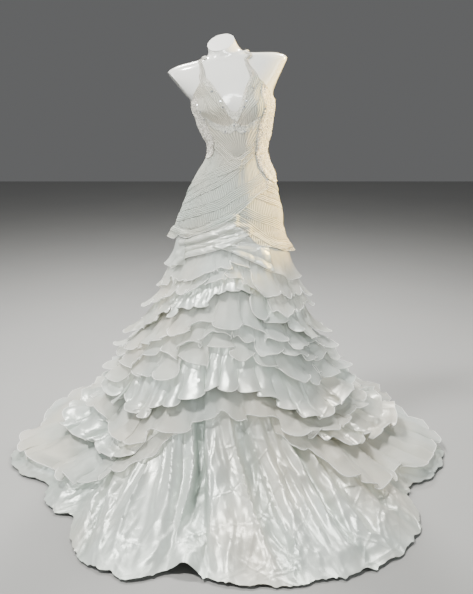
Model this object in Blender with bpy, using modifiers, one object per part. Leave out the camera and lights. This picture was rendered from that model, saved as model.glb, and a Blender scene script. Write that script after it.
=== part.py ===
"""Halter-neck trumpet wedding dress with ruffle tiers, on a limbless dress form.

Metres, +Z up, the front faces -Y. The dress is one body of revolution-like cloth: every piece is a
thin wall on the same surface, which is worked out from the rings of the body above the hip and from
the skirt's fall below it. Azimuths are in degrees from the front towards +X.
"""

import math

import bmesh
import bpy
import numpy as np
from mathutils import Vector

# ---------------------------------------------------------------- driving dimensions

STEP = 5  # degrees from one column of points to the next, at the front and the sides
BACK_STEP = 10  # and at the back
BACK_FROM = 120
HIP_HEIGHT = 0.945  # where the body ends and the skirt's fall starts
SKIN = 0.0005  # inner face of the cloth that touches the body's surface
FORM_CLEARANCE = 0.003  # the form stays this far inside the cloth
SEAM_GAP = 0.0003  # between two pieces that are sewn together
LAYER_GAP = 0.0022  # between a layer and what lies under it
TIER_GAP = 0.0035  # the same for a ruffle, whose waves differ from those under it
TIER_OVERLAP = 0.028  # a tier starts this far above the hem of the tier over it
SKIRT_TOP_MARGIN = 0.012  # pieces over the skirt's upper edge ride over it from this far off
LIFT_LEAST = 0.35  # a lifted lower edge stands off this much in a trough, as a share of its crest's
PROBES = 8  # places between two rows where a piece is kept clear of what is under it
LAYING_ROUNDS = 12
SMALLEST_RADIUS = 0.10  # the waist's, where a seam's gap is the narrowest
SKIRT_WALL = 0.003
TIER_WALL = 0.0018
BODICE_WALL = 0.0022

# The body's rings, from the hip to the cut of the neck. A ring is level but for its roll (right side
# up) and its pitch (back side up). squareness 2 is an ellipse, more is squarer.
RING_COLUMNS = ("height", "centre", "half_width", "front", "back", "roll", "pitch", "squareness")
RINGS = (
    (0.880, 0.004, 0.168, 0.122, 0.128, 0.0, 0.0, 2.0),
    (0.945, 0.004, 0.199, 0.140, 0.150, 0.0, 0.0, 2.0),
    (1.000, 0.007, 0.195, 0.138, 0.147, 0.0, 0.0, 2.0),
    (1.060, 0.0095, 0.179, 0.127, 0.135, 0.0, 0.0, 2.0),
    (1.110, 0.0135, 0.162, 0.115, 0.120, 0.0, 0.0, 2.0),
    (1.155, 0.0195, 0.144, 0.103, 0.105, 0.0, 0.0, 2.0),
    (1.200, 0.024, 0.120, 0.093, 0.092, 0.0, 0.0, 2.0),
    (1.235, 0.0285, 0.108, 0.087, 0.085, 0.0, 0.0, 2.0),
    (1.270, 0.029, 0.113, 0.090, 0.086, 0.0, 0.0, 2.0),
    (1.310, 0.022, 0.129, 0.097, 0.090, 0.0, 0.0, 2.0),
    (1.355, 0.0175, 0.140, 0.102, 0.095, 0.5, 0.0, 2.0),
    (1.400, 0.0135, 0.151, 0.104, 0.099, 2.0, 0.0, 2.0),
    (1.440, 0.006, 0.157, 0.102, 0.099, 5.0, 0.0, 2.1),
    (1.470, 0.000, 0.178, 0.095, 0.095, 7.0, 0.0, 2.3),
    (1.499, -0.005, 0.198, 0.086, 0.088, 7.0, 0.0, 2.5),
    (1.527, -0.0105, 0.214, 0.075, 0.080, 7.0, 0.0, 2.6),
    (1.552, -0.009, 0.222, 0.064, 0.067, 7.0, 0.0, 2.6),
    (1.572, -0.010, 0.184, 0.056, 0.057, 7.5, 0.0, 2.4),
    (1.585, -0.014, 0.088, 0.053, 0.053, 8.0, 0.0, 2.1),
    (1.600, -0.019, 0.062, 0.053, 0.054, 8.0, 8.0, 2.0),
    (1.616, -0.026, 0.056, 0.052, 0.055, 9.0, 18.0, 2.0),
    (1.631, -0.032, 0.052, 0.052, 0.053, 12.0, 31.0, 2.0),
)
BUST_HEIGHT = 1.402
BUST_AZIMUTH = 34.0
BUST_OUT = 0.027
BUST_SPREAD = 21.0  # degrees
BUST_RISE = 0.045

# The skirt's fall from the hip to the floor. spread is 0 at the hip's ring and 1 at the hem's reach,
# fold is the height of the long folds there, shift is how far the whole goes to the right.
FALL = (
    # height, spread, fold, shift
    (0.945, 0.000, 0.000, 0.000),
    (0.840, 0.022, 0.000, 0.000),
    (0.720, 0.080, 0.000, -0.003),
    (0.600, 0.145, 0.000, -0.010),
    (0.480, 0.225, 0.006, -0.017),
    (0.380, 0.282, 0.014, -0.017),
    (0.290, 0.335, 0.024, -0.012),
    (0.210, 0.405, 0.033, -0.006),
    (0.140, 0.500, 0.038, 0.000),
    (0.080, 0.635, 0.036, 0.000),
    (0.035, 0.805, 0.022, 0.000),
    (0.003, 1.000, 0.000, 0.000),
)
FOLDS = 18  # long folds all round
NOMINAL_REACH = 0.90

# How far the hem reaches over the floor, all round.
HEM = (
    # azimuth, reach
    (-180, 0.970),
    (-150, 0.955),
    (-132, 0.936),
    (-123, 0.968),
    (-112, 0.925),
    (-105, 0.880),
    (-98, 0.860),
    (-91, 0.894),
    (-86, 0.908),
    (-76, 0.868),
    (-67, 0.768),
    (-57, 0.812),
    (-52, 0.815),
    (-46, 0.785),
    (-36, 0.895),
    (-26, 0.955),
    (-19, 0.962),
    (-10, 0.885),
    (0, 0.935),
    (14, 0.957),
    (27, 0.972),
    (40, 0.945),
    (51, 0.870),
    (60, 0.775),
    (66, 0.768),
    (72, 0.837),
    (77, 0.855),
    (86, 0.889),
    (96, 0.874),
    (113, 0.870),
    (125, 0.916),
    (131, 0.962),
    (150, 0.960),
    (180, 0.970),
)
ARCH_AZIMUTH = -10.0  # the front hem is lifted off the floor in one small arch
ARCH_LIFT = 0.045
ARCH_SPREAD = 4.0  # degrees

SKIRT_PANELS = (
    # name, first azimuth, last azimuth
    ("skirt_front", -35, 35),
    ("skirt_side_right", 35, 110),
    ("skirt_back_right", 110, 180),
    ("skirt_back_left", -180, -110),
    ("skirt_side_left", -110, -35),
)

# The ruffle tiers from the lowest, which is sewn on first, to the highest. Heights are those of the
# hem at the front, 45 degrees left and right, the side and the back. start and stop are the azimuths
# between which the tier runs round the back, and a tier all round has -180 and 180. crest is how far
# the hem stands off the skirt on a wave's crest.
TIER_COLUMNS = (
    "name", "cloth", "start", "stop", "wave_columns", "shift", "crest",
    "front", "mid_left", "mid_right", "side", "back",
)
TIERS = (
    ("tier_10", "organza", 20, 340, 4, 0, 0.042, 0.420, 0.055, 0.065, 0.036, 0.034),
    ("tier_09", "satin", 25, 330, 6, 2, 0.050, 0.450, 0.110, 0.165, 0.090, 0.080),
    ("tier_08", "organza", -180, 180, 4, 1, 0.048, 0.345, 0.165, 0.205, 0.200, 0.160),
    ("tier_07", "satin", -180, 180, 6, 0, 0.060, 0.435, 0.275, 0.270, 0.300, 0.245),
    ("tier_06", "organza", -180, 180, 4, 3, 0.050, 0.540, 0.420, 0.420, 0.365, 0.320),
    ("tier_05", "organza", -180, 180, 4, 0, 0.052, 0.590, 0.485, 0.480, 0.415, 0.375),
    ("tier_04", "organza", -180, 180, 4, 2, 0.050, 0.645, 0.550, 0.535, 0.465, 0.435),
    ("tier_03", "satin", -180, 180, 6, 3, 0.050, 0.745, 0.655, 0.600, 0.520, 0.500),
    ("tier_02", "organza", -180, 180, 4, 0, 0.046, 0.790, 0.720, 0.655, 0.640, 0.600),
    ("tier_01", "organza", -180, 180, 4, 0, 0.024, 0.830, 0.770, 0.710, 0.700, 0.690),
)
FIRST_TIER_TOP = 0.905
TIER_END = 25.0  # degrees over which the waves of a tier that ends die out
NEAR_FRONT_SHARE = 0.58  # of the drop from the front to 45 degrees, what a hem still has to go at 20
WAVE_TROUGH = 0.010  # how far a ruffle's hem stands off the skirt in a trough
WAVE_DROP = 0.026  # how much lower the hem is on a full wave's crest than in a trough
# How large each wave of a ruffle is, one after another round the dress.
WAVE_SIZES = (0.7, 0.55, 1.0, 1.0, 0.6, 0.9, 0.7, 0.5, 1.0, 0.65, 0.9, 0.55, 1.0, 0.7, 0.85)

# Pieces on the body and the hip, each between an upper and a lower edge. A row is an azimuth, the
# heights of the two edges there and how far the lower edge stands off what it lies on.
EDGES = {
    "hip_flounce_right": (
        (30, 0.925, 0.815, 0.004), (45, 0.915, 0.790, 0.006), (60, 0.900, 0.760, 0.008),
        (90, 0.885, 0.745, 0.008), (130, 0.895, 0.750, 0.010), (180, 0.905, 0.750, 0.010),
    ),
    "satin_band_right": (
        (-15, 0.920, 0.900, 0.002), (0, 0.930, 0.884, 0.003), (10, 0.950, 0.866, 0.004),
        (25, 0.950, 0.835, 0.005), (35, 0.925, 0.808, 0.006), (40, 0.915, 0.800, 0.008),
    ),
    "satin_band_lower": (
        (-65, 0.910, 0.795, 0.010), (-60, 0.915, 0.803, 0.008), (-50, 0.922, 0.846, 0.006),
        (-30, 0.945, 0.870, 0.005), (-10, 0.972, 0.894, 0.004), (5, 0.990, 0.918, 0.004),
        (20, 0.980, 0.948, 0.002),
    ),
    "satin_band_upper": (
        (-60, 0.950, 0.897, 0.004), (-50, 0.947, 0.903, 0.004), (-30, 0.972, 0.922, 0.004),
        (-10, 1.005, 0.952, 0.004), (5, 1.020, 0.978, 0.002),
    ),
    "hip_flounce_left": (
        (-180, 0.920, 0.780, 0.012), (-130, 0.930, 0.785, 0.012), (-90, 0.950, 0.795, 0.012),
        (-70, 0.950, 0.800, 0.008), (-50, 0.945, 0.825, 0.001),
    ),
    "hip_wrap_right": (
        (-10, 1.020, 0.995, 0.001), (0, 1.035, 0.990, 0.001), (15, 1.075, 0.955, 0.003),
        (30, 1.110, 0.904, 0.004), (45, 1.126, 0.893, 0.006), (65, 1.124, 0.870, 0.006),
        (80, 1.116, 0.860, 0.008), (90, 1.110, 0.855, 0.014), (100, 1.106, 0.862, 0.006),
    ),
    "hip_side_right": ((50, 1.232, 1.110, 0.0), (75, 1.232, 1.098, 0.0), (100, 1.232, 1.086, 0.0)),
    "hip_back_right": ((100, 1.232, 0.862, 0.006), (120, 1.232, 0.875, 0.006), (180, 1.232, 0.880, 0.006)),
    "hip_back_left": ((-180, 1.232, 0.880, 0.006), (-120, 1.232, 0.910, 0.006), (-95, 1.232, 0.925, 0.008)),
    "hip_wrap_left": (
        (-95, 1.232, 0.925, 0.008), (-85, 1.232, 0.920, 0.010), (-70, 1.232, 0.930, 0.006),
        (-50, 1.232, 0.926, 0.004), (-40, 1.232, 0.938, 0.003), (-20, 1.232, 0.968, 0.002),
        (-5, 1.232, 0.997, 0.001), (10, 1.232, 1.032, 0.001), (30, 1.232, 1.085, 0.001),
        (50, 1.232, 1.110, 0.001),
    ),
    "midriff_front": ((-45, 1.338, 1.234, 0.0), (40, 1.338, 1.234, 0.0)),
    "cup_left": (
        (-45, 1.465, 1.339, 0.0), (-40, 1.473, 1.339, 0.0), (-35, 1.481, 1.339, 0.0),
        (-30, 1.490, 1.339, 0.0), (-25, 1.502, 1.339, 0.0), (-20, 1.515, 1.339, 0.0),
        (-15, 1.510, 1.339, 0.0), (-10, 1.428, 1.339, 0.0), (-5, 1.397, 1.339, 0.0),
        (0, 1.387, 1.339, 0.0), (5, 1.389, 1.339, 0.0),
    ),
    "cup_right": (
        (5, 1.389, 1.339, 0.0), (10, 1.412, 1.339, 0.0), (15, 1.452, 1.339, 0.0),
        (20, 1.515, 1.339, 0.0), (25, 1.508, 1.339, 0.0), (30, 1.492, 1.339, 0.0),
        (35, 1.481, 1.339, 0.0), (40, 1.473, 1.339, 0.0),
    ),
    "side_panel_left": (
        (-100, 1.405, 1.234, 0.0), (-75, 1.422, 1.234, 0.0), (-55, 1.449, 1.234, 0.0),
        (-45, 1.465, 1.234, 0.0),
    ),
    "side_panel_right": (
        (40, 1.473, 1.234, 0.0), (55, 1.449, 1.234, 0.0), (75, 1.430, 1.234, 0.0),
        (100, 1.408, 1.234, 0.0),
    ),
    "back_left": (
        (-180, 1.300, 1.234, 0.0), (-150, 1.315, 1.234, 0.0), (-120, 1.365, 1.234, 0.0),
        (-100, 1.405, 1.234, 0.0),
    ),
    "back_right": (
        (100, 1.408, 1.234, 0.0), (120, 1.365, 1.234, 0.0), (150, 1.315, 1.234, 0.0),
        (180, 1.300, 1.234, 0.0),
    ),
    "waist_wrap_left": (
        (-55, 1.325, 1.275, 0.001), (-20, 1.290, 1.240, 0.001), (0, 1.262, 1.212, 0.001),
        (25, 1.240, 1.192, 0.001),
    ),
    "waist_wrap_right": (
        (-60, 1.205, 1.130, 0.001), (-30, 1.232, 1.160, 0.001), (0, 1.262, 1.200, 0.001),
        (25, 1.290, 1.235, 0.001), (50, 1.325, 1.280, 0.001),
    ),
}
UNDER_BUST = 1.3385  # pieces with rows above and below a seam have a row there
SEAM_SHARE = 0.6  # or this far up from their lower edge, where they are too short for that
BODY_PIECES = (
    # name, cloth, rows to the seam, rows below it, pleat depth, columns to a pleat, columns that a
    # pleat moves in a row
    ("hip_flounce_right", "organza", 3, 0, 0.0, 4, 0),
    ("satin_band_right", "satin", 3, 0, 0.0, 6, 0),
    ("satin_band_lower", "satin", 4, 0, 0.0, 6, 0),
    ("satin_band_upper", "satin", 3, 0, 0.0, 6, 0),
    ("hip_flounce_left", "organza", 3, 0, 0.0, 4, 0),
    ("hip_side_right", "tulle", 6, 0, 0.0, 4, 0),
    ("hip_wrap_right", "tulle", 6, 0, 0.002, 4, 1),
    ("hip_back_right", "tulle", 5, 0, 0.0, 4, 0),
    ("hip_back_left", "tulle", 5, 0, 0.0, 4, 0),
    ("hip_wrap_left", "tulle", 6, 0, 0.002, 4, -1),
    ("midriff_front", "tulle", 4, 0, 0.0, 4, 0),
    ("cup_left", "tulle", 7, 0, 0.0015, 2, 0),
    ("cup_right", "tulle", 7, 0, 0.0015, 2, 0),
    ("side_panel_left", "lace", 7, 3, 0.0, 4, 0),
    ("side_panel_right", "lace", 7, 3, 0.0, 4, 0),
    ("back_left", "tulle", 4, 3, 0.0, 4, 0),
    ("back_right", "tulle", 4, 3, 0.0, 4, 0),
    ("waist_wrap_left", "tulle", 3, 0, 0.0, 4, 0),
    ("waist_wrap_right", "tulle", 4, 0, 0.0, 4, 0),
)

# The straps run over the body's surface, from the top of a cup to the back of the neck.
STRAP_WIDTH = 0.015
STRAP_WALL = 0.002
STRAP_OFF_BODY = 0.0035
STRAP_POINTS = 22
STRAPS = {
    # name: ring height and azimuth of the points that it passes
    "strap_left": (
        (1.517, -18.5), (1.538, -18), (1.556, -19), (1.571, -27), (1.583, -48), (1.588, -80),
        (1.588, -115), (1.584, -150), (1.581, -179),
    ),
    "strap_right": (
        (1.517, 20.0), (1.530, 16.5), (1.546, 13.5), (1.559, 13), (1.572, 18), (1.582, 38),
        (1.588, 75), (1.588, 115), (1.584, 150), (1.581, 179),
    ),
}

FORM_COLUMNS = 36
FORM_ROWS = 28
POLE_RADIUS = 0.014
BASE_RADIUS = 0.165
BASE_THICKNESS = 0.012
BASE_HUB_RADIUS = 0.030
BASE_HUB_HEIGHT = 0.040

CLOTHS = {
    # name: colour, roughness, metallic
    "satin": ((0.83, 0.84, 0.80, 1.0), 0.32, 0.0),
    "organza": ((0.80, 0.82, 0.78, 1.0), 0.60, 0.0),
    "tulle": ((0.78, 0.80, 0.74, 1.0), 0.75, 0.0),
    "lace": ((0.82, 0.79, 0.71, 1.0), 0.70, 0.0),
    "form_shell": ((0.86, 0.86, 0.84, 1.0), 0.35, 0.0),
    "form_metal": ((0.60, 0.60, 0.60, 1.0), 0.30, 1.0),
}


# ---------------------------------------------------------------- numbers from the tables


def column_of(table, index):
    return [row[index] for row in table]


def smooth(at, xs, ys):
    """A curve through the points (xs, ys), read at a value, with no overshoot between them."""
    xs = np.asarray(xs, float)
    ys = np.asarray(ys, float)
    at = min(max(at, xs[0]), xs[-1])
    run = np.diff(xs)
    slope = np.diff(ys) / run
    tangent = np.zeros(len(xs))
    same_way = slope[:-1] * slope[1:] > 0
    inner = 2 * slope[:-1] * slope[1:] / np.where(same_way, slope[:-1] + slope[1:], 1.0)
    tangent[1:-1] = np.where(same_way, inner, 0.0)
    tangent[0] = slope[0]
    tangent[-1] = slope[-1]
    i = min(int(np.searchsorted(xs, at, side="right")) - 1, len(run) - 1)
    t = (at - xs[i]) / run[i]
    start = (1 + 2 * t) * (1 - t) ** 2 * ys[i] + t * (1 - t) ** 2 * run[i] * tangent[i]
    end = t * t * (3 - 2 * t) * ys[i + 1] + t * t * (t - 1) * run[i] * tangent[i + 1]
    return float(start + end)


def wrapped(azimuth):
    """The same azimuth between -180 and 180."""
    return (azimuth + 180.0) % 360.0 - 180.0


def ring_at(height):
    heights = column_of(RINGS, 0)
    return [smooth(height, heights, column_of(RINGS, i)) for i in range(1, len(RING_COLUMNS))]


def hem_reach(azimuth):
    return smooth(wrapped(azimuth), column_of(HEM, 0), column_of(HEM, 1))


HIP_RING = ring_at(HIP_HEIGHT)


def fall_arc():
    """How long the skirt's fall is from the hip down to each row of FALL."""
    half_width = HIP_RING[1]
    reach = [half_width + row[1] * (NOMINAL_REACH - half_width) for row in FALL]
    steps = np.hypot(np.diff(reach), np.diff(column_of(FALL, 0)))
    return np.concatenate([[0.0], np.cumsum(steps)])


ARC = fall_arc()


def arc_of(height):
    """Distance down the cloth from the hip to a height. Above the hip it is negative."""
    if height >= HIP_HEIGHT:
        return HIP_HEIGHT - height
    heights = column_of(FALL, 0)[::-1]
    return float(np.interp(height, heights, ARC[::-1]))


def height_of(arc):
    if arc <= 0:
        return HIP_HEIGHT - arc
    return float(np.interp(arc, ARC, column_of(FALL, 0)))


# ---------------------------------------------------------------- the surface that the cloth lies on


def superellipse(azimuth, squareness):
    turn = math.radians(azimuth)
    power = 2.0 / squareness
    across = math.copysign(abs(math.sin(turn)) ** power, math.sin(turn))
    ahead = math.copysign(abs(math.cos(turn)) ** power, math.cos(turn))
    return across, ahead


def bust(height, azimuth):
    """How far the bust stands out of the ring."""
    rise = math.exp(-(((height - BUST_HEIGHT) / BUST_RISE) ** 2))
    around = abs(wrapped(azimuth)) - BUST_AZIMUTH
    return BUST_OUT * rise * math.exp(-((around / BUST_SPREAD) ** 2))


def body_place(height, azimuth):
    """The point of the body's surface at a ring's height and an azimuth."""
    centre, half_width, front, back, roll, pitch, squareness = ring_at(height)
    across, ahead = superellipse(azimuth, squareness)
    depth = front if ahead > 0 else back
    out = bust(height, azimuth)
    x = across * half_width
    y = -ahead * depth
    length = math.hypot(x, y)
    x += out * x / length
    y += out * y / length
    z = height + x * math.tan(math.radians(roll)) + y * math.tan(math.radians(pitch))
    return Vector((centre + x, y, z))


def body_normal(height, azimuth):
    small_turn = 0.5
    small_rise = 0.002
    around = body_place(height, azimuth + small_turn) - body_place(height, azimuth - small_turn)
    up = body_place(height + small_rise, azimuth) - body_place(height - small_rise, azimuth)
    return around.cross(up).normalized()


def fold_share(azimuth):
    """1 on the ridge of a long fold and 0 in the hollow between two."""
    return 0.5 + 0.5 * math.cos(math.radians(azimuth) * FOLDS)


def arch_share(azimuth):
    return math.exp(-(((azimuth - ARCH_AZIMUTH) / ARCH_SPREAD) ** 2))


def fall_place(row, azimuth):
    """The skirt's outer point at a row of FALL."""
    height, spread, fold, shift = FALL[row]
    centre, half_width, front, back = HIP_RING[:4]
    reach = hem_reach(azimuth)
    turn = math.radians(azimuth)
    depth = front if math.cos(turn) > 0 else back
    x = (half_width + spread * (reach - half_width)) * math.sin(turn)
    y = -(depth + spread * (reach - depth)) * math.cos(turn)
    lift = ARCH_LIFT * arch_share(azimuth) * max(0.0, (spread - 0.5) / 0.5)
    place = Vector((centre * (1 - spread) + shift + x, y, height + lift))
    out = fold * fold_share(azimuth) + SKIN + SKIRT_WALL * (1 - spread)
    return place + fall_normal(row, azimuth) * out


def fall_normal(row, azimuth):
    """The outward direction at a row of FALL, square to the slope above and below it."""
    above = FALL[max(row - 1, 0)]
    below = FALL[min(row + 1, len(FALL) - 1)]
    run = (below[1] - above[1]) * (NOMINAL_REACH - HIP_RING[1])
    drop = above[0] - below[0]
    turn = math.radians(azimuth)
    return Vector((drop * math.sin(turn), -drop * math.cos(turn), run)).normalized()


def cloth_place(arc, azimuth, out):
    """A point of the dress: so far down from the hip, at an azimuth, and so far out of the surface."""
    if arc <= 0:
        height = HIP_HEIGHT - arc
        return body_place(height, azimuth) + body_normal(height, azimuth) * out
    row = min(int(np.searchsorted(ARC, arc, side="right")) - 1, len(ARC) - 2)
    share = (arc - ARC[row]) / (ARC[row + 1] - ARC[row])
    place = fall_place(row, azimuth).lerp(fall_place(row + 1, azimuth), share)
    normal = fall_normal(row, azimuth).lerp(fall_normal(row + 1, azimuth), share)
    return place + normal.normalized() * out


# ---------------------------------------------------------------- meshes


def cloth_material(name, cloth):
    colour, roughness, metallic = CLOTHS[cloth]
    material = bpy.data.materials.new(f"{name}_{cloth}")
    material.use_nodes = True
    shader = material.node_tree.nodes["Principled BSDF"]
    shader.inputs["Base Color"].default_value = colour
    shader.inputs["Roughness"].default_value = roughness
    shader.inputs["Metallic"].default_value = metallic
    return material


def place_object(collection, name, mesh, cloth):
    obj = bpy.data.objects.new(name, mesh)
    mesh.materials.append(cloth_material(name, cloth))
    mesh.shade_smooth()
    mesh.set_sharp_from_angle(angle=math.radians(50))
    collection.objects.link(obj)
    return obj


def wall_mesh(name, outer, inner, closed):
    """A closed wall between two grids of points. closed joins the last column to the first."""
    rows = len(outer)
    columns = len(outer[0])
    form = bmesh.new()
    out = [[form.verts.new(p) for p in line] for line in outer]
    back = [[form.verts.new(p) for p in line] for line in inner]
    last = columns if closed else columns - 1
    for j in range(last):
        k = (j + 1) % columns
        for i in range(rows - 1):
            form.faces.new((out[i][j], out[i + 1][j], out[i + 1][k], out[i][k]))
            form.faces.new((back[i][j], back[i][k], back[i + 1][k], back[i + 1][j]))
        form.faces.new((out[0][j], out[0][k], back[0][k], back[0][j]))
        form.faces.new((out[-1][k], out[-1][j], back[-1][j], back[-1][k]))
    if not closed:
        for i in range(rows - 1):
            form.faces.new((out[i][0], back[i][0], back[i + 1][0], out[i + 1][0]))
            form.faces.new((out[i][-1], out[i + 1][-1], back[i + 1][-1], back[i][-1]))
    bmesh.ops.recalc_face_normals(form, faces=form.faces)
    mesh = bpy.data.meshes.new(name)
    form.to_mesh(mesh)
    form.free()
    return mesh


# ---------------------------------------------------------------- cloth in layers


def azimuths_between(start, stop):
    """The columns from one azimuth to another, wider apart at the back."""
    steps = range(start, stop + 1, STEP)
    return [a for a in steps if abs(wrapped(a)) <= BACK_FROM or a % BACK_STEP == 0]


def column_number(azimuth):
    return len(azimuths_between(-180, round(wrapped(azimuth)))) - 1


def along(azimuth, arcs, outs):
    """Arcs and distances out, row by row and between rows, of a strip that is straight between them."""
    places = [cloth_place(arc, azimuth, out) for arc, out in zip(arcs, outs)]
    dense_arcs = []
    dense_outs = []
    for i in range(len(arcs) - 1):
        for share in np.linspace(0, 1, PROBES):
            arc = arcs[i] + share * (arcs[i + 1] - arcs[i])
            surface = cloth_place(arc, azimuth, 0.0)
            normal = (cloth_place(arc, azimuth, LAYER_GAP) - surface).normalized()
            dense_arcs.append(arc)
            dense_outs.append((places[i].lerp(places[i + 1], share) - surface).dot(normal))
    return np.array(dense_arcs), np.array(dense_outs)


class Layers:
    """What has been laid on the dress so far: at each column, the strips and how far out they reach.

    side is -1 at the first column of a strip, 1 at its last and 0 between them. Two strips that end at
    one column from opposite sides are sewn together there, and don't lie on each other.
    """

    def __init__(self):
        self.columns = {}
        for azimuth in azimuths_between(-180, 180):
            margins = np.array((-SKIRT_TOP_MARGIN, SKIRT_TOP_MARGIN))
            self.columns[azimuth % 360] = {"skirt": (0, margins, np.array((SKIN + SKIRT_WALL, 0.0)))}

    def add(self, name, column, side, arcs, outs):
        """column is the azimuth of the column, before it is drawn back at a seam."""
        dense_arcs, dense_outs = along(column, arcs, outs)
        self.columns[column % 360][name] = (side, dense_arcs, dense_outs)

    def out_at(self, column, side, arc):
        """How far out the highest strip is at this place, or 0 where there is none."""
        highest = 0.0
        for other, arcs, outs in self.columns[column % 360].values():
            sewn = side != 0 and other == -side
            if arcs[0] <= arc <= arcs[-1] and not sewn:
                highest = max(highest, float(np.interp(arc, arcs, outs)))
        return highest

    def out_near(self, column, side, arc):
        """The same for a close-lying piece, which also clears what its neighbour columns lie on."""
        highest = self.out_at(column, side, arc)
        for name, (other, _, _) in self.columns[column % 360].items():
            if side != 0 and other == -side:
                continue
            for turn in (-STEP, STEP):
                strips = self.columns.get((column + turn) % 360, {})
                if name in strips and strips[name][1][0] <= arc <= strips[name][1][-1]:
                    highest = max(highest, float(np.interp(arc, strips[name][1], strips[name][2])))
        return highest


def drawn_back(columns):
    """The azimuths of a piece's columns, with its two ends drawn back by half of the seam's gap."""
    azimuths = list(columns)
    back = math.degrees(0.5 * SEAM_GAP / SMALLEST_RADIUS)
    azimuths[0] += back
    azimuths[-1] -= back
    return azimuths


def lay(layers, column, side, arcs, least, gap, close):
    """How far out the inner face of a strip is at each arc, at least so far, a gap off all under it.

    A close-lying piece also clears what its neighbour columns lie on.
    """
    dense_arcs, bulge = along(column, arcs, np.zeros(len(arcs)))
    under_at = layers.out_near if close else layers.out_at
    under = np.array([under_at(column, side, arc) for arc in dense_arcs])
    needed = np.where(under > 0, under + gap, SKIN) - bulge
    at_rows = np.append(needed[::PROBES], needed[-1])
    outs = np.maximum(least, at_rows)
    for _ in range(LAYING_ROUNDS):
        for k, need in enumerate(needed):
            row = k // PROBES
            share = (k % PROBES) / (PROBES - 1)
            short = need - (1 - share) * outs[row] - share * outs[row + 1]
            if short > 0:
                scale = short / ((1 - share) ** 2 + share**2)
                outs[row] += scale * (1 - share)
                outs[row + 1] += scale * share
    return [float(out) for out in outs]


def tier_hem_height(tier, azimuth):
    front, side, back = tier["front"], tier["side"], tier["back"]
    left, right = tier["mid_left"], tier["mid_right"]
    near_left = left + NEAR_FRONT_SHARE * (front - left)
    near_right = right + NEAR_FRONT_SHARE * (front - right)
    heights = (back, side, left, near_left, front, near_right, right, side, back)
    return smooth(wrapped(azimuth), (-180, -90, -45, -20, 0, 20, 45, 90, 180), heights)


def wave_share(column, wave_columns, shift):
    """1 on a ruffle's crest and 0 in its trough."""
    return 0.5 + 0.5 * math.cos(2 * math.pi * (column + shift) / wave_columns)


def wave_size(column, wave_columns, shift):
    columns_round = len(azimuths_between(-180, 180)) - 1
    wave = round((column + shift) / wave_columns) % (columns_round // wave_columns)
    return WAVE_SIZES[wave % len(WAVE_SIZES)]


def build_tiers(collection, layers):
    tiers = [dict(zip(TIER_COLUMNS, row)) for row in TIERS]
    for tier, above in zip(tiers, tiers[1:] + [None]):
        closed = tier["stop"] - tier["start"] == 360
        columns = azimuths_between(tier["start"], tier["stop"])
        if closed:
            columns = columns[:-1]
        outer = [[], []]
        inner = [[], []]
        for column in columns:
            hem = arc_of(tier_hem_height(tier, column))
            if above is None:
                top = arc_of(FIRST_TIER_TOP)
            else:
                top = arc_of(tier_hem_height(above, column)) - TIER_OVERLAP
            top = min(top, hem - TIER_OVERLAP)
            number = column_number(column)
            wave = wave_share(number, tier["wave_columns"], tier["shift"])
            wave *= wave_size(number, tier["wave_columns"], tier["shift"])
            if not closed:
                to_end = min(column - tier["start"], tier["stop"] - column)
                wave *= min(1.0, to_end / TIER_END)
            hem += WAVE_DROP * (wave - 0.5)
            trough = WAVE_TROUGH if closed else WAVE_TROUGH * min(1.0, 0.3 + to_end / TIER_END)
            stand_off = trough + wave * (tier["crest"] - WAVE_TROUGH)
            outs = lay(layers, column, 0, (top, hem), (LAYER_GAP, stand_off), TIER_GAP, False)
            reached = [out + TIER_WALL for out in outs]
            layers.add(tier["name"], column, 0, (top, hem), reached)
            if column == tier["start"] and not closed:
                layers.add(tier["name"], column - STEP, 0, (top, hem), reached)
            if column == tier["stop"] and not closed:
                layers.add(tier["name"], column + STEP, 0, (top, hem), reached)
            for row, (arc, out) in enumerate(zip((top, hem), outs)):
                inner[row].append(cloth_place(arc, column, out))
                outer[row].append(cloth_place(arc, column, out + TIER_WALL))
        mesh = wall_mesh(tier["name"], outer, inner, closed)
        place_object(collection, tier["name"], mesh, tier["cloth"])


def edge_arcs(name, azimuth, upper_rows, lower_rows):
    """Where a piece's rows are at an azimuth, and how far its lower edge stands off there."""
    table = EDGES[name]
    azimuth = min(max(azimuth, table[0][0]), table[-1][0])
    top, hem, lift = [smooth(azimuth, column_of(table, 0), column_of(table, i)) for i in (1, 2, 3)]
    if lower_rows == 0:
        return np.linspace(arc_of(top), arc_of(hem), upper_rows), lift
    seam = min(UNDER_BUST, hem + SEAM_SHARE * (top - hem))
    upper = np.linspace(arc_of(top), arc_of(seam), upper_rows)
    lower = np.linspace(arc_of(seam), arc_of(hem), lower_rows + 1)
    return np.concatenate([upper, lower[1:]]), lift


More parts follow.
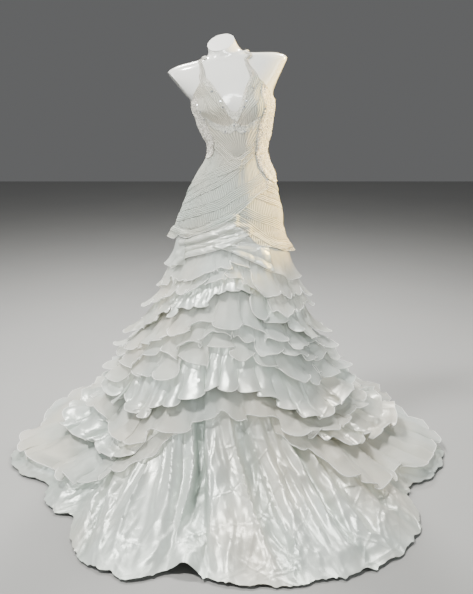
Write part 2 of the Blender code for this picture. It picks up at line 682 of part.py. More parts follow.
def build_body_pieces(collection, layers):
    """The bodice, the wraps and the bands, each laid on what is already there."""
    for name, cloth, upper_rows, lower_rows, pleat, pleat_columns, pleat_run in BODY_PIECES:
        table = EDGES[name]
        rows = upper_rows + lower_rows
        columns = azimuths_between(table[0][0], table[-1][0])
        outer = [[] for _ in range(rows)]
        inner = [[] for _ in range(rows)]
        for j, (column, azimuth) in enumerate(zip(columns, drawn_back(columns))):
            side = -1 if j == 0 else 1 if j == len(columns) - 1 else 0
            number = column_number(column)
            arcs, lift = edge_arcs(name, column, upper_rows, lower_rows)
            lift *= LIFT_LEAST + (1 - LIFT_LEAST) * wave_share(number, pleat_columns, 0)
            outs = lay(layers, column, side, arcs, np.zeros(rows), LAYER_GAP, True)
            outs = [out + lift * (row / (rows - 1)) ** 2 for row, out in enumerate(outs)]
            walls = [
                BODICE_WALL + pleat * wave_share(number + row * pleat_run, pleat_columns, 0)
                for row in range(rows)
            ]
            layers.add(name, column, side, arcs, [out + wall for out, wall in zip(outs, walls)])
            for row, (arc, out, wall) in enumerate(zip(arcs, outs, walls)):
                inner[row].append(cloth_place(arc, azimuth, out))
                outer[row].append(cloth_place(arc, azimuth, out + wall))
        place_object(collection, name, wall_mesh(name, outer, inner, False), cloth)


def build_skirt(collection):
    """The skirt's panels, which fall from the hip to the floor and rest on it at the hem."""
    for name, start, stop in SKIRT_PANELS:
        azimuths = drawn_back(azimuths_between(start, stop))
        outer = []
        inner = []
        for row in range(len(FALL)):
            on_floor = row == len(FALL) - 1
            line = [fall_place(row, azimuth) for azimuth in azimuths]
            back = [p - fall_normal(row, a) * SKIRT_WALL for p, a in zip(line, azimuths)]
            if on_floor:
                back = [Vector((p.x, p.y, q.z - SKIRT_WALL)) for p, q in zip(back, line)]
            outer.append(line)
            inner.append(back)
        place_object(collection, name, wall_mesh(name, outer, inner, False), "satin")


def build_straps(collection):
    for name, points in STRAPS.items():
        passed = np.linspace(0, len(points) - 1, STRAP_POINTS)
        places = []
        normals = []
        for at in passed:
            height = smooth(at, range(len(points)), column_of(points, 0))
            azimuth = smooth(at, range(len(points)), column_of(points, 1))
            normal = body_normal(height, azimuth)
            places.append(body_place(height, azimuth) + normal * STRAP_OFF_BODY)
            normals.append(normal)
        outer = [[], []]
        inner = [[], []]
        for i, (place, normal) in enumerate(zip(places, normals)):
            ahead = places[min(i + 1, STRAP_POINTS - 1)] - places[max(i - 1, 0)]
            across = ahead.cross(normal).normalized() * (STRAP_WIDTH / 2)
            for row, side in enumerate((-across, across)):
                inner[row].append(place + side)
                outer[row].append(place + side + normal * STRAP_WALL)
        place_object(collection, name, wall_mesh(name, outer, inner, False), "tulle")


# ---------------------------------------------------------------- the dress form


def build_torso(collection):
    """The form's torso: a solid loft up the body, closed by a flat face at the hip and at the neck."""
    form = bmesh.new()
    loops = []
    passed = np.linspace(0, len(RINGS) - 1, FORM_ROWS)
    for height in np.interp(passed, range(len(RINGS)), column_of(RINGS, 0)):
        azimuths = [360.0 * j / FORM_COLUMNS for j in range(FORM_COLUMNS)]
        places = [body_place(height, a) for a in azimuths]
        centre = sum(places, Vector()) / FORM_COLUMNS
        loops.append([form.verts.new(p + (centre - p).normalized() * FORM_CLEARANCE) for p in places])
    for low, high in zip(loops, loops[1:]):
        for j in range(FORM_COLUMNS):
            k = (j + 1) % FORM_COLUMNS
            form.faces.new((low[j], low[k], high[k], high[j]))
    form.faces.new(loops[0])
    form.faces.new(loops[-1])
    bmesh.ops.recalc_face_normals(form, faces=form.faces)
    mesh = bpy.data.meshes.new("form_torso")
    form.to_mesh(mesh)
    form.free()
    place_object(collection, "form_torso", mesh, "form_shell")


def turned(collection, name, profile, cloth, segments):
    """A solid turned about the vertical axis from a profile of (radius, height), top to bottom."""
    mesh = bpy.data.meshes.new(name)
    points = [(radius, 0.0, height) for radius, height in profile]
    edges = [(i, i + 1) for i in range(len(points) - 1)]
    mesh.from_pydata(points, edges, [])
    obj = bpy.data.objects.new(name, mesh)
    mesh.materials.append(cloth_material(name, cloth))
    collection.objects.link(obj)
    screw = obj.modifiers.new("turn", "SCREW")
    screw.axis = "Z"
    screw.angle = 2 * math.pi
    screw.steps = segments
    screw.render_steps = segments
    screw.use_merge_vertices = True
    screw.merge_threshold = 0.0001
    return obj


def build_stand(collection):
    centre = HIP_RING[0]
    bottom = RINGS[0][0] - SEAM_GAP
    pole = turned(
        collection,
        "form_pole",
        ((0.0, bottom), (POLE_RADIUS, bottom), (POLE_RADIUS, BASE_HUB_HEIGHT + SEAM_GAP),
         (0.0, BASE_HUB_HEIGHT + SEAM_GAP)),
        "form_metal",
        16,
    )
    base = turned(
        collection,
        "form_base",
        ((0.0, BASE_HUB_HEIGHT), (BASE_HUB_RADIUS, BASE_HUB_HEIGHT), (BASE_HUB_RADIUS, BASE_THICKNESS),
         (BASE_RADIUS - 0.004, BASE_THICKNESS), (BASE_RADIUS, BASE_THICKNESS - 0.004), (BASE_RADIUS, 0.0),
         (0.0, 0.0)),
        "form_metal",
        32,
    )
    for obj in (pole, base):
        obj.location = (centre, 0.0, 0.0)


# ---------------------------------------------------------------- the whole


def clear_scene():
    for obj in list(bpy.data.objects):
        bpy.data.objects.remove(obj, do_unlink=True)


def centre_on_floor(collection):
    """Hangs everything from one empty, which puts the middle of the whole over the origin."""
    bpy.context.view_layer.update()
    corners = [
        obj.matrix_world @ Vector(corner) for obj in collection.objects for corner in obj.bound_box
    ]
    middle = Vector((
        0.5 * (min(c.x for c in corners) + max(c.x for c in corners)),
        0.5 * (min(c.y for c in corners) + max(c.y for c in corners)),
        0.0,
    ))
    origin = bpy.data.objects.new("dress_origin", None)
    for obj in list(collection.objects):
        obj.parent = origin
    origin.location = -middle
    collection.objects.link(origin)


def main():
    clear_scene()
    collection = bpy.data.collections.new("wedding_dress_on_form")
    bpy.context.scene.collection.children.link(collection)
    layers = Layers()
    build_skirt(collection)
    build_tiers(collection, layers)
    build_body_pieces(collection, layers)
    build_straps(collection)
    build_torso(collection)
    build_stand(collection)
    centre_on_floor(collection)


main()
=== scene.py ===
# %% [markdown]
# # A halter-neck wedding dress on its form
# The dress is a trumpet gown: a pleated bodice with a deep V, wraps of pleated tulle that cross over the
# waist and the hip, folded satin bands, ten ruffle tiers of organza and satin, and a satin skirt whose hem
# lies on the floor in a short train. It hangs on a glossy limbless form.
#
# One idea carries the whole lesson: every piece of cloth is a grid of points on one shared surface. A
# point is given by three numbers that a dressmaker would use too: how far down the cloth it is, where it
# is round the body, and how far it stands out of the surface. Pleats, folds and ruffles then only change
# the third number, and the next layer is laid on top of what is already there.

import math

import bmesh
import bpy
import numpy as np
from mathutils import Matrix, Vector


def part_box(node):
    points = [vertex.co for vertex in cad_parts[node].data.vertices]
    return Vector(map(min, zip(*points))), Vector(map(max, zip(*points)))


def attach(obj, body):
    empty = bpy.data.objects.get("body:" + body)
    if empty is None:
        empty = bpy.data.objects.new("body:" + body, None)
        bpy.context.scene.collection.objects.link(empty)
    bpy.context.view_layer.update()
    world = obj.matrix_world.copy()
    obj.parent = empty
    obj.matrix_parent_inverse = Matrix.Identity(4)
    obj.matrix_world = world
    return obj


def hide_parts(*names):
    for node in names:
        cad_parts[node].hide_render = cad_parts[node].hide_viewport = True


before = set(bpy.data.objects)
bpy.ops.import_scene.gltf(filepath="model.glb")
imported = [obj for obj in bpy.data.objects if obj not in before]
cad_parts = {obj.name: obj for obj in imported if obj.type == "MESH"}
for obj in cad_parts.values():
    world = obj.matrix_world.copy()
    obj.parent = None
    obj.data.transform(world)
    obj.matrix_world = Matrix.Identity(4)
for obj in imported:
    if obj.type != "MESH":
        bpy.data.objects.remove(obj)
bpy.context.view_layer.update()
print("frame:", len(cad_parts), "nodes")

# %% [markdown]
# ## The surface of the body
# Above the hip the surface is a stack of rings, as a tailor would measure them with a tape. A ring can
# roll to one side and pitch to the back, because the form's shoulders and its neck aren't level. Reading
# the table with a curve that never overshoots keeps the waist from bulging between two rings.

# %% Rings of the body
HIP_HEIGHT = 0.945
# height, centre, half width, front depth, back depth, roll, pitch, squareness (2 is an ellipse)
RINGS = np.array((
    (0.880, 0.004, 0.168, 0.122, 0.128, 0.0, 0.0, 2.0),
    (0.945, 0.004, 0.199, 0.140, 0.150, 0.0, 0.0, 2.0),
    (1.000, 0.007, 0.195, 0.138, 0.147, 0.0, 0.0, 2.0),
    (1.060, 0.0095, 0.179, 0.127, 0.135, 0.0, 0.0, 2.0),
    (1.110, 0.0135, 0.162, 0.115, 0.120, 0.0, 0.0, 2.0),
    (1.155, 0.0195, 0.144, 0.103, 0.105, 0.0, 0.0, 2.0),
    (1.200, 0.024, 0.120, 0.093, 0.092, 0.0, 0.0, 2.0),
    (1.235, 0.0285, 0.108, 0.087, 0.085, 0.0, 0.0, 2.0),
    (1.270, 0.029, 0.113, 0.090, 0.086, 0.0, 0.0, 2.0),
    (1.310, 0.022, 0.129, 0.097, 0.090, 0.0, 0.0, 2.0),
    (1.355, 0.0175, 0.140, 0.102, 0.095, 0.5, 0.0, 2.0),
    (1.400, 0.0135, 0.151, 0.104, 0.099, 2.0, 0.0, 2.0),
    (1.440, 0.006, 0.157, 0.102, 0.099, 5.0, 0.0, 2.1),
    (1.470, 0.000, 0.178, 0.095, 0.095, 7.0, 0.0, 2.3),
    (1.499, -0.005, 0.198, 0.086, 0.088, 7.0, 0.0, 2.5),
    (1.527, -0.0105, 0.214, 0.075, 0.080, 7.0, 0.0, 2.6),
    (1.552, -0.009, 0.222, 0.064, 0.067, 7.0, 0.0, 2.6),
    (1.572, -0.010, 0.184, 0.056, 0.057, 7.5, 0.0, 2.4),
    (1.585, -0.014, 0.088, 0.053, 0.053, 8.0, 0.0, 2.1),
    (1.600, -0.019, 0.062, 0.053, 0.054, 8.0, 8.0, 2.0),
    (1.616, -0.026, 0.056, 0.052, 0.055, 9.0, 18.0, 2.0),
    (1.631, -0.032, 0.052, 0.052, 0.053, 12.0, 31.0, 2.0),
))
BUST = {"height": 1.402, "azimuth": 34.0, "out": 0.027, "spread": 21.0, "rise": 0.045}

pole_low, pole_high = (np.array(corner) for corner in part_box("form_pole"))
SHIFT = 0.5 * (pole_low + pole_high) - np.array((RINGS[1, 1], 0.0, 0.0))
SHIFT[2] = 0.0
print("the body's axis stands at", [round(float(v), 4) for v in SHIFT[:2]])


def smooth(at, xs, ys):
    """A curve through the points (xs, ys), with no overshoot between them, read at an array."""
    xs, ys = np.asarray(xs, float), np.asarray(ys, float)
    at = np.clip(at, xs[0], xs[-1])
    run = np.diff(xs)
    slope = np.diff(ys) / run
    tangent = np.zeros(len(xs))
    same_way = slope[:-1] * slope[1:] > 0
    inner = 2 * slope[:-1] * slope[1:] / np.where(same_way, slope[:-1] + slope[1:], 1.0)
    tangent[1:-1] = np.where(same_way, inner, 0.0)
    tangent[0], tangent[-1] = slope[0], slope[-1]
    i = np.clip(np.searchsorted(xs, at, side="right") - 1, 0, len(run) - 1)
    t = (at - xs[i]) / run[i]
    start = (1 + 2 * t) * (1 - t) ** 2 * ys[i] + t * (1 - t) ** 2 * run[i] * tangent[i]
    end = t * t * (3 - 2 * t) * ys[i + 1] + t * t * (t - 1) * run[i] * tangent[i + 1]
    return start + end


def body_surface(height, azimuth):
    """Points of the body at heights and azimuths, which are degrees from the front towards +X."""
    ring = [smooth(height, RINGS[:, 0], RINGS[:, i]) for i in range(1, 8)]
    centre, half_width, front, back, roll, pitch, squareness = ring
    across, ahead = np.sin(np.radians(azimuth)), np.cos(np.radians(azimuth))
    power = 2.0 / squareness
    x = np.sign(across) * np.abs(across) ** power * half_width
    y = -np.sign(ahead) * np.abs(ahead) ** power * np.where(ahead > 0, front, back)
    around = (np.abs((azimuth + 180) % 360 - 180) - BUST["azimuth"]) / BUST["spread"]
    along = (height - BUST["height"]) / BUST["rise"]
    out = BUST["out"] * np.exp(-(along**2) - around**2)
    length = np.hypot(x, y)
    x, y = x + out * x / length, y + out * y / length
    z = height + x * np.tan(np.radians(roll)) + y * np.tan(np.radians(pitch))
    return np.stack([centre + x, y, z], -1)


# %% [markdown]
# ## The surface of the skirt
# Below the hip the cloth falls to the floor and runs out over it. The table says, for each height, how far
# the cloth has spread from the hip towards the hem, and a second table says how far the hem reaches all
# round. Distance is measured down the cloth, so a ruffle of 12 cm stays 12 cm long where the skirt flares.

# %% The fall and the hem
# height, spread (0 at the hip, 1 at the hem), height of the long folds there, shift to the right
FALL = np.array((
    (0.945, 0.000, 0.000, 0.000), (0.840, 0.022, 0.000, 0.000), (0.720, 0.080, 0.000, -0.003),
    (0.600, 0.145, 0.000, -0.010), (0.480, 0.225, 0.006, -0.017), (0.380, 0.282, 0.014, -0.017),
    (0.290, 0.335, 0.024, -0.012), (0.210, 0.405, 0.033, -0.006), (0.140, 0.500, 0.038, 0.000),
    (0.080, 0.635, 0.036, 0.000), (0.035, 0.805, 0.022, 0.000), (0.003, 1.000, 0.000, 0.000),
))
# azimuth, reach of the hem over the floor
HEM = np.array((
    (-180, .970), (-150, .955), (-132, .936), (-123, .968), (-112, .925), (-105, .880), (-98, .860),
    (-91, .894), (-86, .908), (-76, .868), (-67, .768), (-57, .812), (-52, .815), (-46, .785), (-36, .895),
    (-26, .955), (-19, .962), (-10, .885), (0, .935), (14, .957), (27, .972), (40, .945), (51, .870),
    (60, .775), (66, .768), (72, .837), (77, .855), (86, .889), (96, .874), (113, .870), (125, .916),
    (131, .962), (150, .960), (180, .970),
))
NOMINAL_REACH = 0.90
ARCH = {"azimuth": -9.0, "lift": 0.034, "spread": 2.5}
HIP = [float(smooth(HIP_HEIGHT, RINGS[:, 0], RINGS[:, i])) for i in range(1, 5)]


def down_the_fall():
    """Distance down the cloth from the hip to each row of the table."""
    reach = HIP[1] + FALL[:, 1] * (NOMINAL_REACH - HIP[1])
    return np.concatenate([[0.0], np.cumsum(np.hypot(np.diff(reach), np.diff(FALL[:, 0])))])


ARC = down_the_fall()


def arc_of(height):
    """Distance down the cloth from the hip to a height, negative above the hip."""
    height = np.asarray(height, float)
    return np.where(height >= HIP_HEIGHT, HIP_HEIGHT - height, np.interp(height, FALL[::-1, 0], ARC[::-1]))


def fall_surface(arc, azimuth):
    """Points of the skirt, which spreads from the hip's ellipse to the reach of the hem."""
    height, spread, shift = (smooth(arc, ARC, FALL[:, i]) for i in (0, 1, 3))
    reach = smooth((azimuth + 180) % 360 - 180, HEM[:, 0], HEM[:, 1])
    across, ahead = np.sin(np.radians(azimuth)), np.cos(np.radians(azimuth))
    depth = np.where(ahead > 0, HIP[2], HIP[3])
    x = HIP[0] * (1 - spread) + shift + (HIP[1] + spread * (reach - HIP[1])) * across
    y = -(depth + spread * (reach - depth)) * ahead
    arch = np.exp(-(((azimuth - ARCH["azimuth"]) / ARCH["spread"]) ** 2))
    z = height + ARCH["lift"] * arch * np.clip((spread - 0.5) / 0.5, 0, 1)
    return np.stack([x, y, z], -1)


def surface(arc, azimuth):
    """Points of the body above the hip and of the fall below it."""
    arc, azimuth = np.broadcast_arrays(np.asarray(arc, float), np.asarray(azimuth, float))
    body = body_surface(HIP_HEIGHT - np.minimum(arc, 0.0), azimuth)
    fall = fall_surface(np.maximum(arc, 0.0), azimuth)
    return np.where((arc <= 0)[..., None], body, fall) + SHIFT


def unit(vectors):
    """The same vectors, each of length 1."""
    return vectors / np.maximum(np.linalg.norm(vectors, axis=-1, keepdims=True), 1e-12)


def outward(arc, azimuth):
    """The way straight out of the surface, from its slope over a little more than a centimetre."""
    turn, step = 0.7, 0.012
    around = surface(arc, azimuth + turn) - surface(arc, azimuth - turn)
    down = surface(arc + step, azimuth) - surface(arc - step, azimuth)
    return unit(np.cross(down, around))


def cloth(arc, azimuth, out):
    """Points of the dress: so far down from the hip, at an azimuth, and so far out of the surface."""
    return surface(arc, azimuth) + outward(arc, azimuth) * np.asarray(out)[..., None]


print("the skirt's cloth is", round(float(ARC[-1]), 3), "m long from hip to hem")

# %% [markdown]
# ## A shell from a grid of points
# Real cloth has two faces, so each piece is a thin closed shell: the grid, the same grid set back along
# its normals, and a rim. Solidify would do it too, but making it here keeps full control of the rim and
# lets each point carry values that a material reads later, such as its place across the pleats.

# %% Mesh helpers
CREASE_ANGLE = 65  # degrees from which an edge of the cloth is shaded sharp
METRES_A_RADIAN = 0.45  # how wide a radian of cloth is taken to be, for patterns that run round the body


def put_in_scene(name, data):
    """A new object at the origin for a mesh, a light or a camera."""
    made = bpy.data.objects.new(name, data)
    bpy.context.collection.objects.link(made)
    return made


def set_attribute(mesh, name, values, kind="FLOAT"):
    """Keeps one value or one vector for each point of a mesh."""
    made = mesh.attributes.new(name, kind, "POINT")
    made.data.foreach_set("vector" if kind == "FLOAT_VECTOR" else "value", values.astype(np.float32))


def grid_normals(points, closed):
    """The way out of the cloth at each point of a grid."""
    if closed:
        around = np.roll(points, -1, 1) - np.roll(points, 1, 1)
    else:
        around = np.gradient(points, axis=1)
    return unit(np.cross(np.gradient(points, axis=0), around))


def grid_faces(number):
    """The four corners of each face, for a grid of point numbers."""
    corners = number[:-1, :-1], number[1:, :-1], number[1:, 1:], number[:-1, 1:]
    return np.stack(corners, -1).reshape(-1, 4)


def shell(name, outer, thickness, place, values=None, closed=False):
    """A thin closed shell behind a grid (rows down, columns round).

    place is the arc and the azimuth of each point, from which a texture knows where it is on the cloth.
    values are further attributes by name.
    """
    rows, columns = outer.shape[:2]
    inner = outer - grid_normals(outer, closed) * thickness
    count = rows * columns
    number = np.arange(count).reshape(rows, columns)
    if closed:
        number = np.concatenate([number, number[:, :1]], axis=1)
    front = grid_faces(number)
    rims = [(number[0, :-1], number[0, 1:]), (number[-1, 1:], number[-1, :-1])]
    if not closed:
        rims += [(number[1:, 0], number[:-1, 0]), (number[:-1, -1], number[1:, -1])]
    faces = [front, front[:, ::-1] + count]
    faces += [np.stack([p, q, q + count, p + count], -1) for p, q in rims]
    mesh = bpy.data.meshes.new(name + "_cloth")
    points = np.concatenate([outer.reshape(-1, 3), inner.reshape(-1, 3)])
    mesh.from_pydata(points.tolist(), [], np.concatenate(faces).tolist())
    mesh.shade_smooth()
    mesh.set_sharp_from_angle(angle=math.radians(CREASE_ANGLE))
    for key, value in (values or {}).items():
        set_attribute(mesh, key, np.tile(np.broadcast_to(value, (rows, columns)).reshape(-1), 2))
    arcs, turns = (np.broadcast_to(grid, (rows, columns)) for grid in place)
    spot = np.stack([np.radians(turns) * METRES_A_RADIAN, arcs, 0 * arcs], -1)
    set_attribute(mesh, "on_cloth", np.tile(spot.reshape(-1), 2), "FLOAT_VECTOR")
    return put_in_scene(name + "_cloth", mesh)


print("helpers for shells are ready")

# %% [markdown]
# ## What each piece declares
# A finished piece names the part of the form that it rides on and the plain solid that it stands for. A
# cloth piece also gives its flat cut, as a pattern cutter would: its width along the longest row, its length
# along the longest column, and its area. All three are measured on the grid, so they follow each change.

# %% Declare a piece
# a sheet is refused if it fills less than 0.3 of its width times its length
LEAST_SHARE = 0.31  # a cut's area is stated as at least this share of its width times its length
CUTS = {}


def finish_piece(piece, material, nodes=()):
    """The piece's material, the node that it stands for and the body that it rides on."""
    if not piece.data.materials:
        piece.data.materials.append(material)
    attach(piece, "root")
    if nodes:
        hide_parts(*nodes)
    return piece


def declare_cut(piece, outer, closed):
    """A curved, narrow trim fills little of its rectangle, so its area is stated as LEAST_SHARE of it where it
    is really less. The lace on the right of the neck is stated 5 to 7 percent too large in this way.
    """
    loop = np.concatenate([outer, outer[:, :1]], axis=1) if closed else outer
    width = np.linalg.norm(np.diff(loop, axis=1), axis=-1).sum(1).max()
    length = np.linalg.norm(np.diff(loop, axis=0), axis=-1).sum(0).max()
    one = np.cross(loop[1:, :-1] - loop[:-1, :-1], loop[:-1, 1:] - loop[:-1, :-1])
    two = np.cross(loop[1:, :-1] - loop[1:, 1:], loop[:-1, 1:] - loop[1:, 1:])
    area = 0.5 * (np.linalg.norm(one, axis=-1).sum() + np.linalg.norm(two, axis=-1).sum())
    area = min(max(float(area), LEAST_SHARE * width * length), width * length)
    measures = [round(float(width), 2), round(float(length), 2), round(area, 3)]
    CUTS[piece.name.removesuffix("_cloth")] = measures


print("the area of a cut is at least", LEAST_SHARE, "of its width times its length")

# %% [markdown]
# ## Laying one layer on another
# The dress has up to five layers of cloth in one place. A map of the unrolled dress, 4 mm by half a degree
# a cell, keeps how far out the cloth reaches so far. Each new piece asks the map what is under it, lies on
# that, and then writes itself into the map. Before it answers, the map is filled up a little between its
# high points, because cloth spans from fold to fold and doesn't cling to the hollows.

# %% The map of layers
MAP_TOP, MAP_STEP, MAP_TURN = -0.72, 0.004, 0.5


class Layers:
    def __init__(self):
        self.arcs = np.arange(MAP_TOP, ARC[-1] + 0.02, MAP_STEP)
        self.turns = np.arange(-180.0, 180.0, MAP_TURN)
        self.reached = np.zeros((len(self.arcs), len(self.turns)))
        self.filled = self.reached

    def fill(self, spread):
        """Spans the hollows: the highest of the neighbours, then their mean, over spread cells."""
        highest = self.reached
        for step in range(1, spread + 1):
            sides = np.maximum(np.roll(self.reached, step, 1), np.roll(self.reached, -step, 1))
            highest = np.maximum(highest, sides)
        mean = sum(np.roll(highest, step, 1) for step in range(-spread, spread + 1)) / (2 * spread + 1)
        self.filled = np.maximum(mean, self.reached)

    def under(self, arc, azimuth):
        """How far out the layers below reach, between the cells of the map."""
        arc, azimuth = np.broadcast_arrays(arc, azimuth)
        row = np.clip((arc - self.arcs[0]) / MAP_STEP, 0, len(self.arcs) - 1.001)
        column = ((azimuth + 180) % 360) / MAP_TURN
        i, j = row.astype(int), column.astype(int) % len(self.turns)
        u, v = row - i, column - column.astype(int)
        k = (j + 1) % len(self.turns)
        above = self.filled[i, j] * (1 - v) + self.filled[i, k] * v
        below = self.filled[i + 1, j] * (1 - v) + self.filled[i + 1, k] * v
        return above * (1 - u) + below * u

    def add(self, arc, azimuth, out):
        """Writes a piece into the map. azimuth is one row, arc and out are grids."""
        for j, turn in enumerate(self.turns):
            for wrap in (turn, turn + 360):
                if not azimuth[0] <= wrap <= azimuth[-1]:
                    continue
                column = np.interp(wrap, azimuth, np.arange(len(azimuth)))
                i = min(int(column), len(azimuth) - 2)
                share = column - i
                arcs = arc[:, i] * (1 - share) + arc[:, i + 1] * share
                outs = np.maximum(out[:, i], out[:, i + 1])
                inside = (self.arcs >= arcs[0]) & (self.arcs <= arcs[-1])
                heights = np.interp(self.arcs[inside], arcs, outs)
                self.reached[inside, j] = np.maximum(self.reached[inside, j], heights)


layers = Layers()
print("map of", layers.reached.shape, "cells")

# %% [markdown]
# ## Noise that is the same at each run
# Cloth is never regular, so most pieces need some noise in their shape. Blender's own noise can't be read
# for a whole array of points at once, so a short lattice noise is written here. Its seed is always given.

# %% Noise
NOISE_VALUES = 4096


def noise(points, seed):
    """Soft noise from -1 to 1 at points, the same at each run."""
    values = np.random.default_rng(seed).uniform(-1, 1, NOISE_VALUES)
    cell = np.floor(points).astype(np.int64)
    part = points - cell
    ease = part * part * part * (part * (part * 6 - 15) + 10)
    total = 0.0
    for corner in np.ndindex(2, 2, 2):
        at = cell + np.array(corner)
        spot = (at[..., 0] * 73856093) ^ (at[..., 1] * 19349663) ^ (at[..., 2] * 83492791)
        weight = np.prod(np.where(np.array(corner) == 1, ease, 1 - ease), axis=-1)
        total = total + values[spot % NOISE_VALUES] * weight
    return total


print("noise at one place:", round(float(noise(np.array([0.5, 0.5, 0.5]), 1)), 4))

# %% [markdown]
# ## Shader maths as plain expressions
# Materials are built from nodes, and node trees are hard to read as code. A small class wraps a node's
# socket, so that `pleats * 0.4 + grain` adds the Math nodes by itself. Everything else goes through one
# method that takes the node's type, its settings and its inputs.

# %% Material helpers


def feed(slot, value):
    """Links a wire to a node's input, or sets the input's own value."""
    if isinstance(value, Wire):
        value.tree.links.new(value.socket, slot)
    else:
        slot.default_value = value


class Wire:
    """A node's output socket that can be used in an expression."""

    def __init__(self, tree, socket):
        self.tree, self.socket = tree, socket

    def math(self, operation, *values):
        node = self.tree.nodes.new("ShaderNodeMath")
        node.operation = operation
        for slot, value in zip(node.inputs, values):
            feed(slot, value)
        return Wire(self.tree, node.outputs[0])

    def __add__(self, other):
        return self.math("ADD", self, other)

    def __mul__(self, other):
        return self.math("MULTIPLY", self, other)

    def __sub__(self, other):
        return self.math("SUBTRACT", self, other)

    def __rsub__(self, other):
        return self.math("SUBTRACT", other, self)

    def __abs__(self):
        return self.math("ABSOLUTE", self)

    __radd__ = __add__
    __rmul__ = __mul__

    def fraction(self):
        return self.math("FRACT", self)


class Finish:
    """A material under construction. Uniform values go straight on the shader's sockets."""

    def __init__(self, name, **values):
        self.material = bpy.data.materials.new(name)
        self.material.use_nodes = True
        self.tree = self.material.node_tree
        self.shader = self.tree.nodes["Principled BSDF"]
        for key, value in values.items():
            self.shader.inputs[key.replace("_", " ")].default_value = value

    def node(self, kind, settings=None, out=0, **values):
        """Any node: its type, its settings, which output is read, and its inputs by name."""
        node = self.tree.nodes.new(kind)
        for key, value in (settings or {}).items():
            setattr(node, key, value)
        for key, value in values.items():
            feed(node.inputs[key.replace("_", " ")], value)
        return Wire(self.tree, node.outputs[out])

    def drive(self, key, wire):
        self.tree.links.new(wire.socket, self.shader.inputs[key])

    def place(self):
        """Object coordinates, which are metres here because every piece sits at the origin."""
        return self.node("ShaderNodeTexCoord", out=3)

    def cloth(self, scale, lean=0.0):
        """Place on the cloth, round and down. Turned, then scaled, so a texture runs along a slanted line."""
        at = self.node("ShaderNodeAttribute", {"attribute_name": "on_cloth"}, out=1)
        turned = self.node("ShaderNodeMapping", Vector=at, Rotation=(0.0, 0.0, lean))
        return self.node("ShaderNodeMapping", Vector=turned, Scale=scale)

    def value(self, name):
        return self.node("ShaderNodeAttribute", {"attribute_name": name}, out=2)

    def between(self, value, low, high, start=0.0, end=1.0):
        """Spreads a value from low to high over start to end, and clips what lies outside."""
        return self.node("ShaderNodeMapRange", Value=value, From_Min=low, From_Max=high,
                         To_Min=start, To_Max=end)

    def grain(self, scale, detail=3.0, place=None):
        return self.node("ShaderNodeTexNoise", Vector=place or self.place(), Scale=scale, Detail=detail)

    def cells(self, scale, feature="F1", place=None):
        """A Voronoi pattern: the distance to the middle of a cell, or to its edge."""
        return self.node("ShaderNodeTexVoronoi", {"feature": feature}, Vector=place or self.place(),
                         Scale=scale)

    def bands(self, scale, direction="X"):
        """Fine bands, which stand for threads."""
        return self.node("ShaderNodeTexWave", {"bands_direction": direction}, Vector=self.place(),
                         Scale=scale)

    def facets(self, scale, lean):
        """Flat facets with straight creases between them, as in crumpled cloth."""
        return self.cells(1.0, place=self.cloth(scale, lean))

    def creases(self, scale, lean, width=0.10):
        """Narrow straight creases that fade in and out."""
        edge = self.cells(1.0, "DISTANCE_TO_EDGE", self.cloth(scale, lean))
        return self.between(edge, 0.0, width, 1.0, 0.0) * self.between(self.grain(5.0, 1.0), 0.40, 0.60)

    def blend(self, factor, first, second):
        """Mixes two colours, or wires that carry colours."""
        node = self.tree.nodes.new("ShaderNodeMix")
        node.data_type = "RGBA"
        feed(node.inputs["Factor"], factor)
        for slot, value in ((6, first), (7, second)):
            feed(node.inputs[slot], value if isinstance(value, Wire) else (*value, 1.0))
        return Wire(self.tree, node.outputs[2])

    def bumps(self, *steps):
        """Bump nodes one after another: (height, distance in metres, strength)."""
        below = {}
        for height, distance, strength in steps:
            bump = self.node("ShaderNodeBump", Height=height, Distance=distance, Strength=strength, **below)
            below = {"Normal": bump}
        self.drive("Normal", bump)


print("node types at hand:", [name for name in vars(Finish) if not name.startswith("_")])

# %% [markdown]
# ## Satin
# Satin is smooth on one face, so it shows the light in long soft streaks, and it keeps every crumple from
# the box it was packed in. It could be an image texture wrapped round the skirt, but a pattern made from
# nodes has no seam and no end. A Voronoi pattern gives flat facets with straight creases, a stretched
# soft noise the pull lines that run down the cloth, and fine bands the weave that a close look finds.

# %% Satin
COOL_IVORY, WARM_IVORY = (0.74, 0.80, 0.755), (0.82, 0.79, 0.69)
# painted shade: a darker, greener ivory that stands for the shade in hollows
PAINTED_HOLLOW_SHADE = (0.47, 0.545, 0.505)


def make_satin(name, crumpled):
    """Satin, crumpled or pulled smooth, with painted shade in its hollows. The value called `lift` is 0 in a
    hollow and 1 on a ridge.
    """
    satin = Finish(name, Metallic=0.33, Sheen_Weight=0.10, Specular_IOR_Level=0.6)
    tint = satin.between(satin.grain(2.2, 2.0), 0.42, 0.68)
    # painted shade: the ivory darkens to a greener grey where `lift` is low, in the hollows
    ridge = satin.between(satin.value("lift"), 0.0, 0.65)
    satin.drive("Base Color", satin.blend(ridge, PAINTED_HOLLOW_SHADE, satin.blend(tint, COOL_IVORY, WARM_IVORY)))
    satin.drive("Roughness", 0.28 + satin.grain(7.0, 2.0) * 0.16)
    weave = (satin.bands(420.0), 0.0002, 0.12)
    if crumpled:
        pulls = satin.grain(1.0, 2.0, place=satin.cloth((36.0, 4.0, 1.0)))
        satin.bumps(weave, (pulls, 0.005, 0.28),
                    (satin.facets((15.0, 3.6, 1.0), 0.24), 0.018, 0.50),
                    (satin.facets((22.0, 6.0, 1.0), -0.36), 0.012, 0.38),
                    (satin.creases((10.0, 3.4, 1.0), 0.45, 0.05), 0.003, 0.40),
                    (satin.creases((13.0, 5.0, 1.0), -0.50, 0.05), 0.003, 0.35))
    else:
        pulls = satin.grain(1.0, 2.0, place=satin.cloth((6.0, 70.0, 1.0)))
        satin.bumps(weave, (pulls, 0.004, 0.35), (satin.creases((4.0, 30.0, 1.0), 0.15), 0.003, 0.6))
    return satin.material


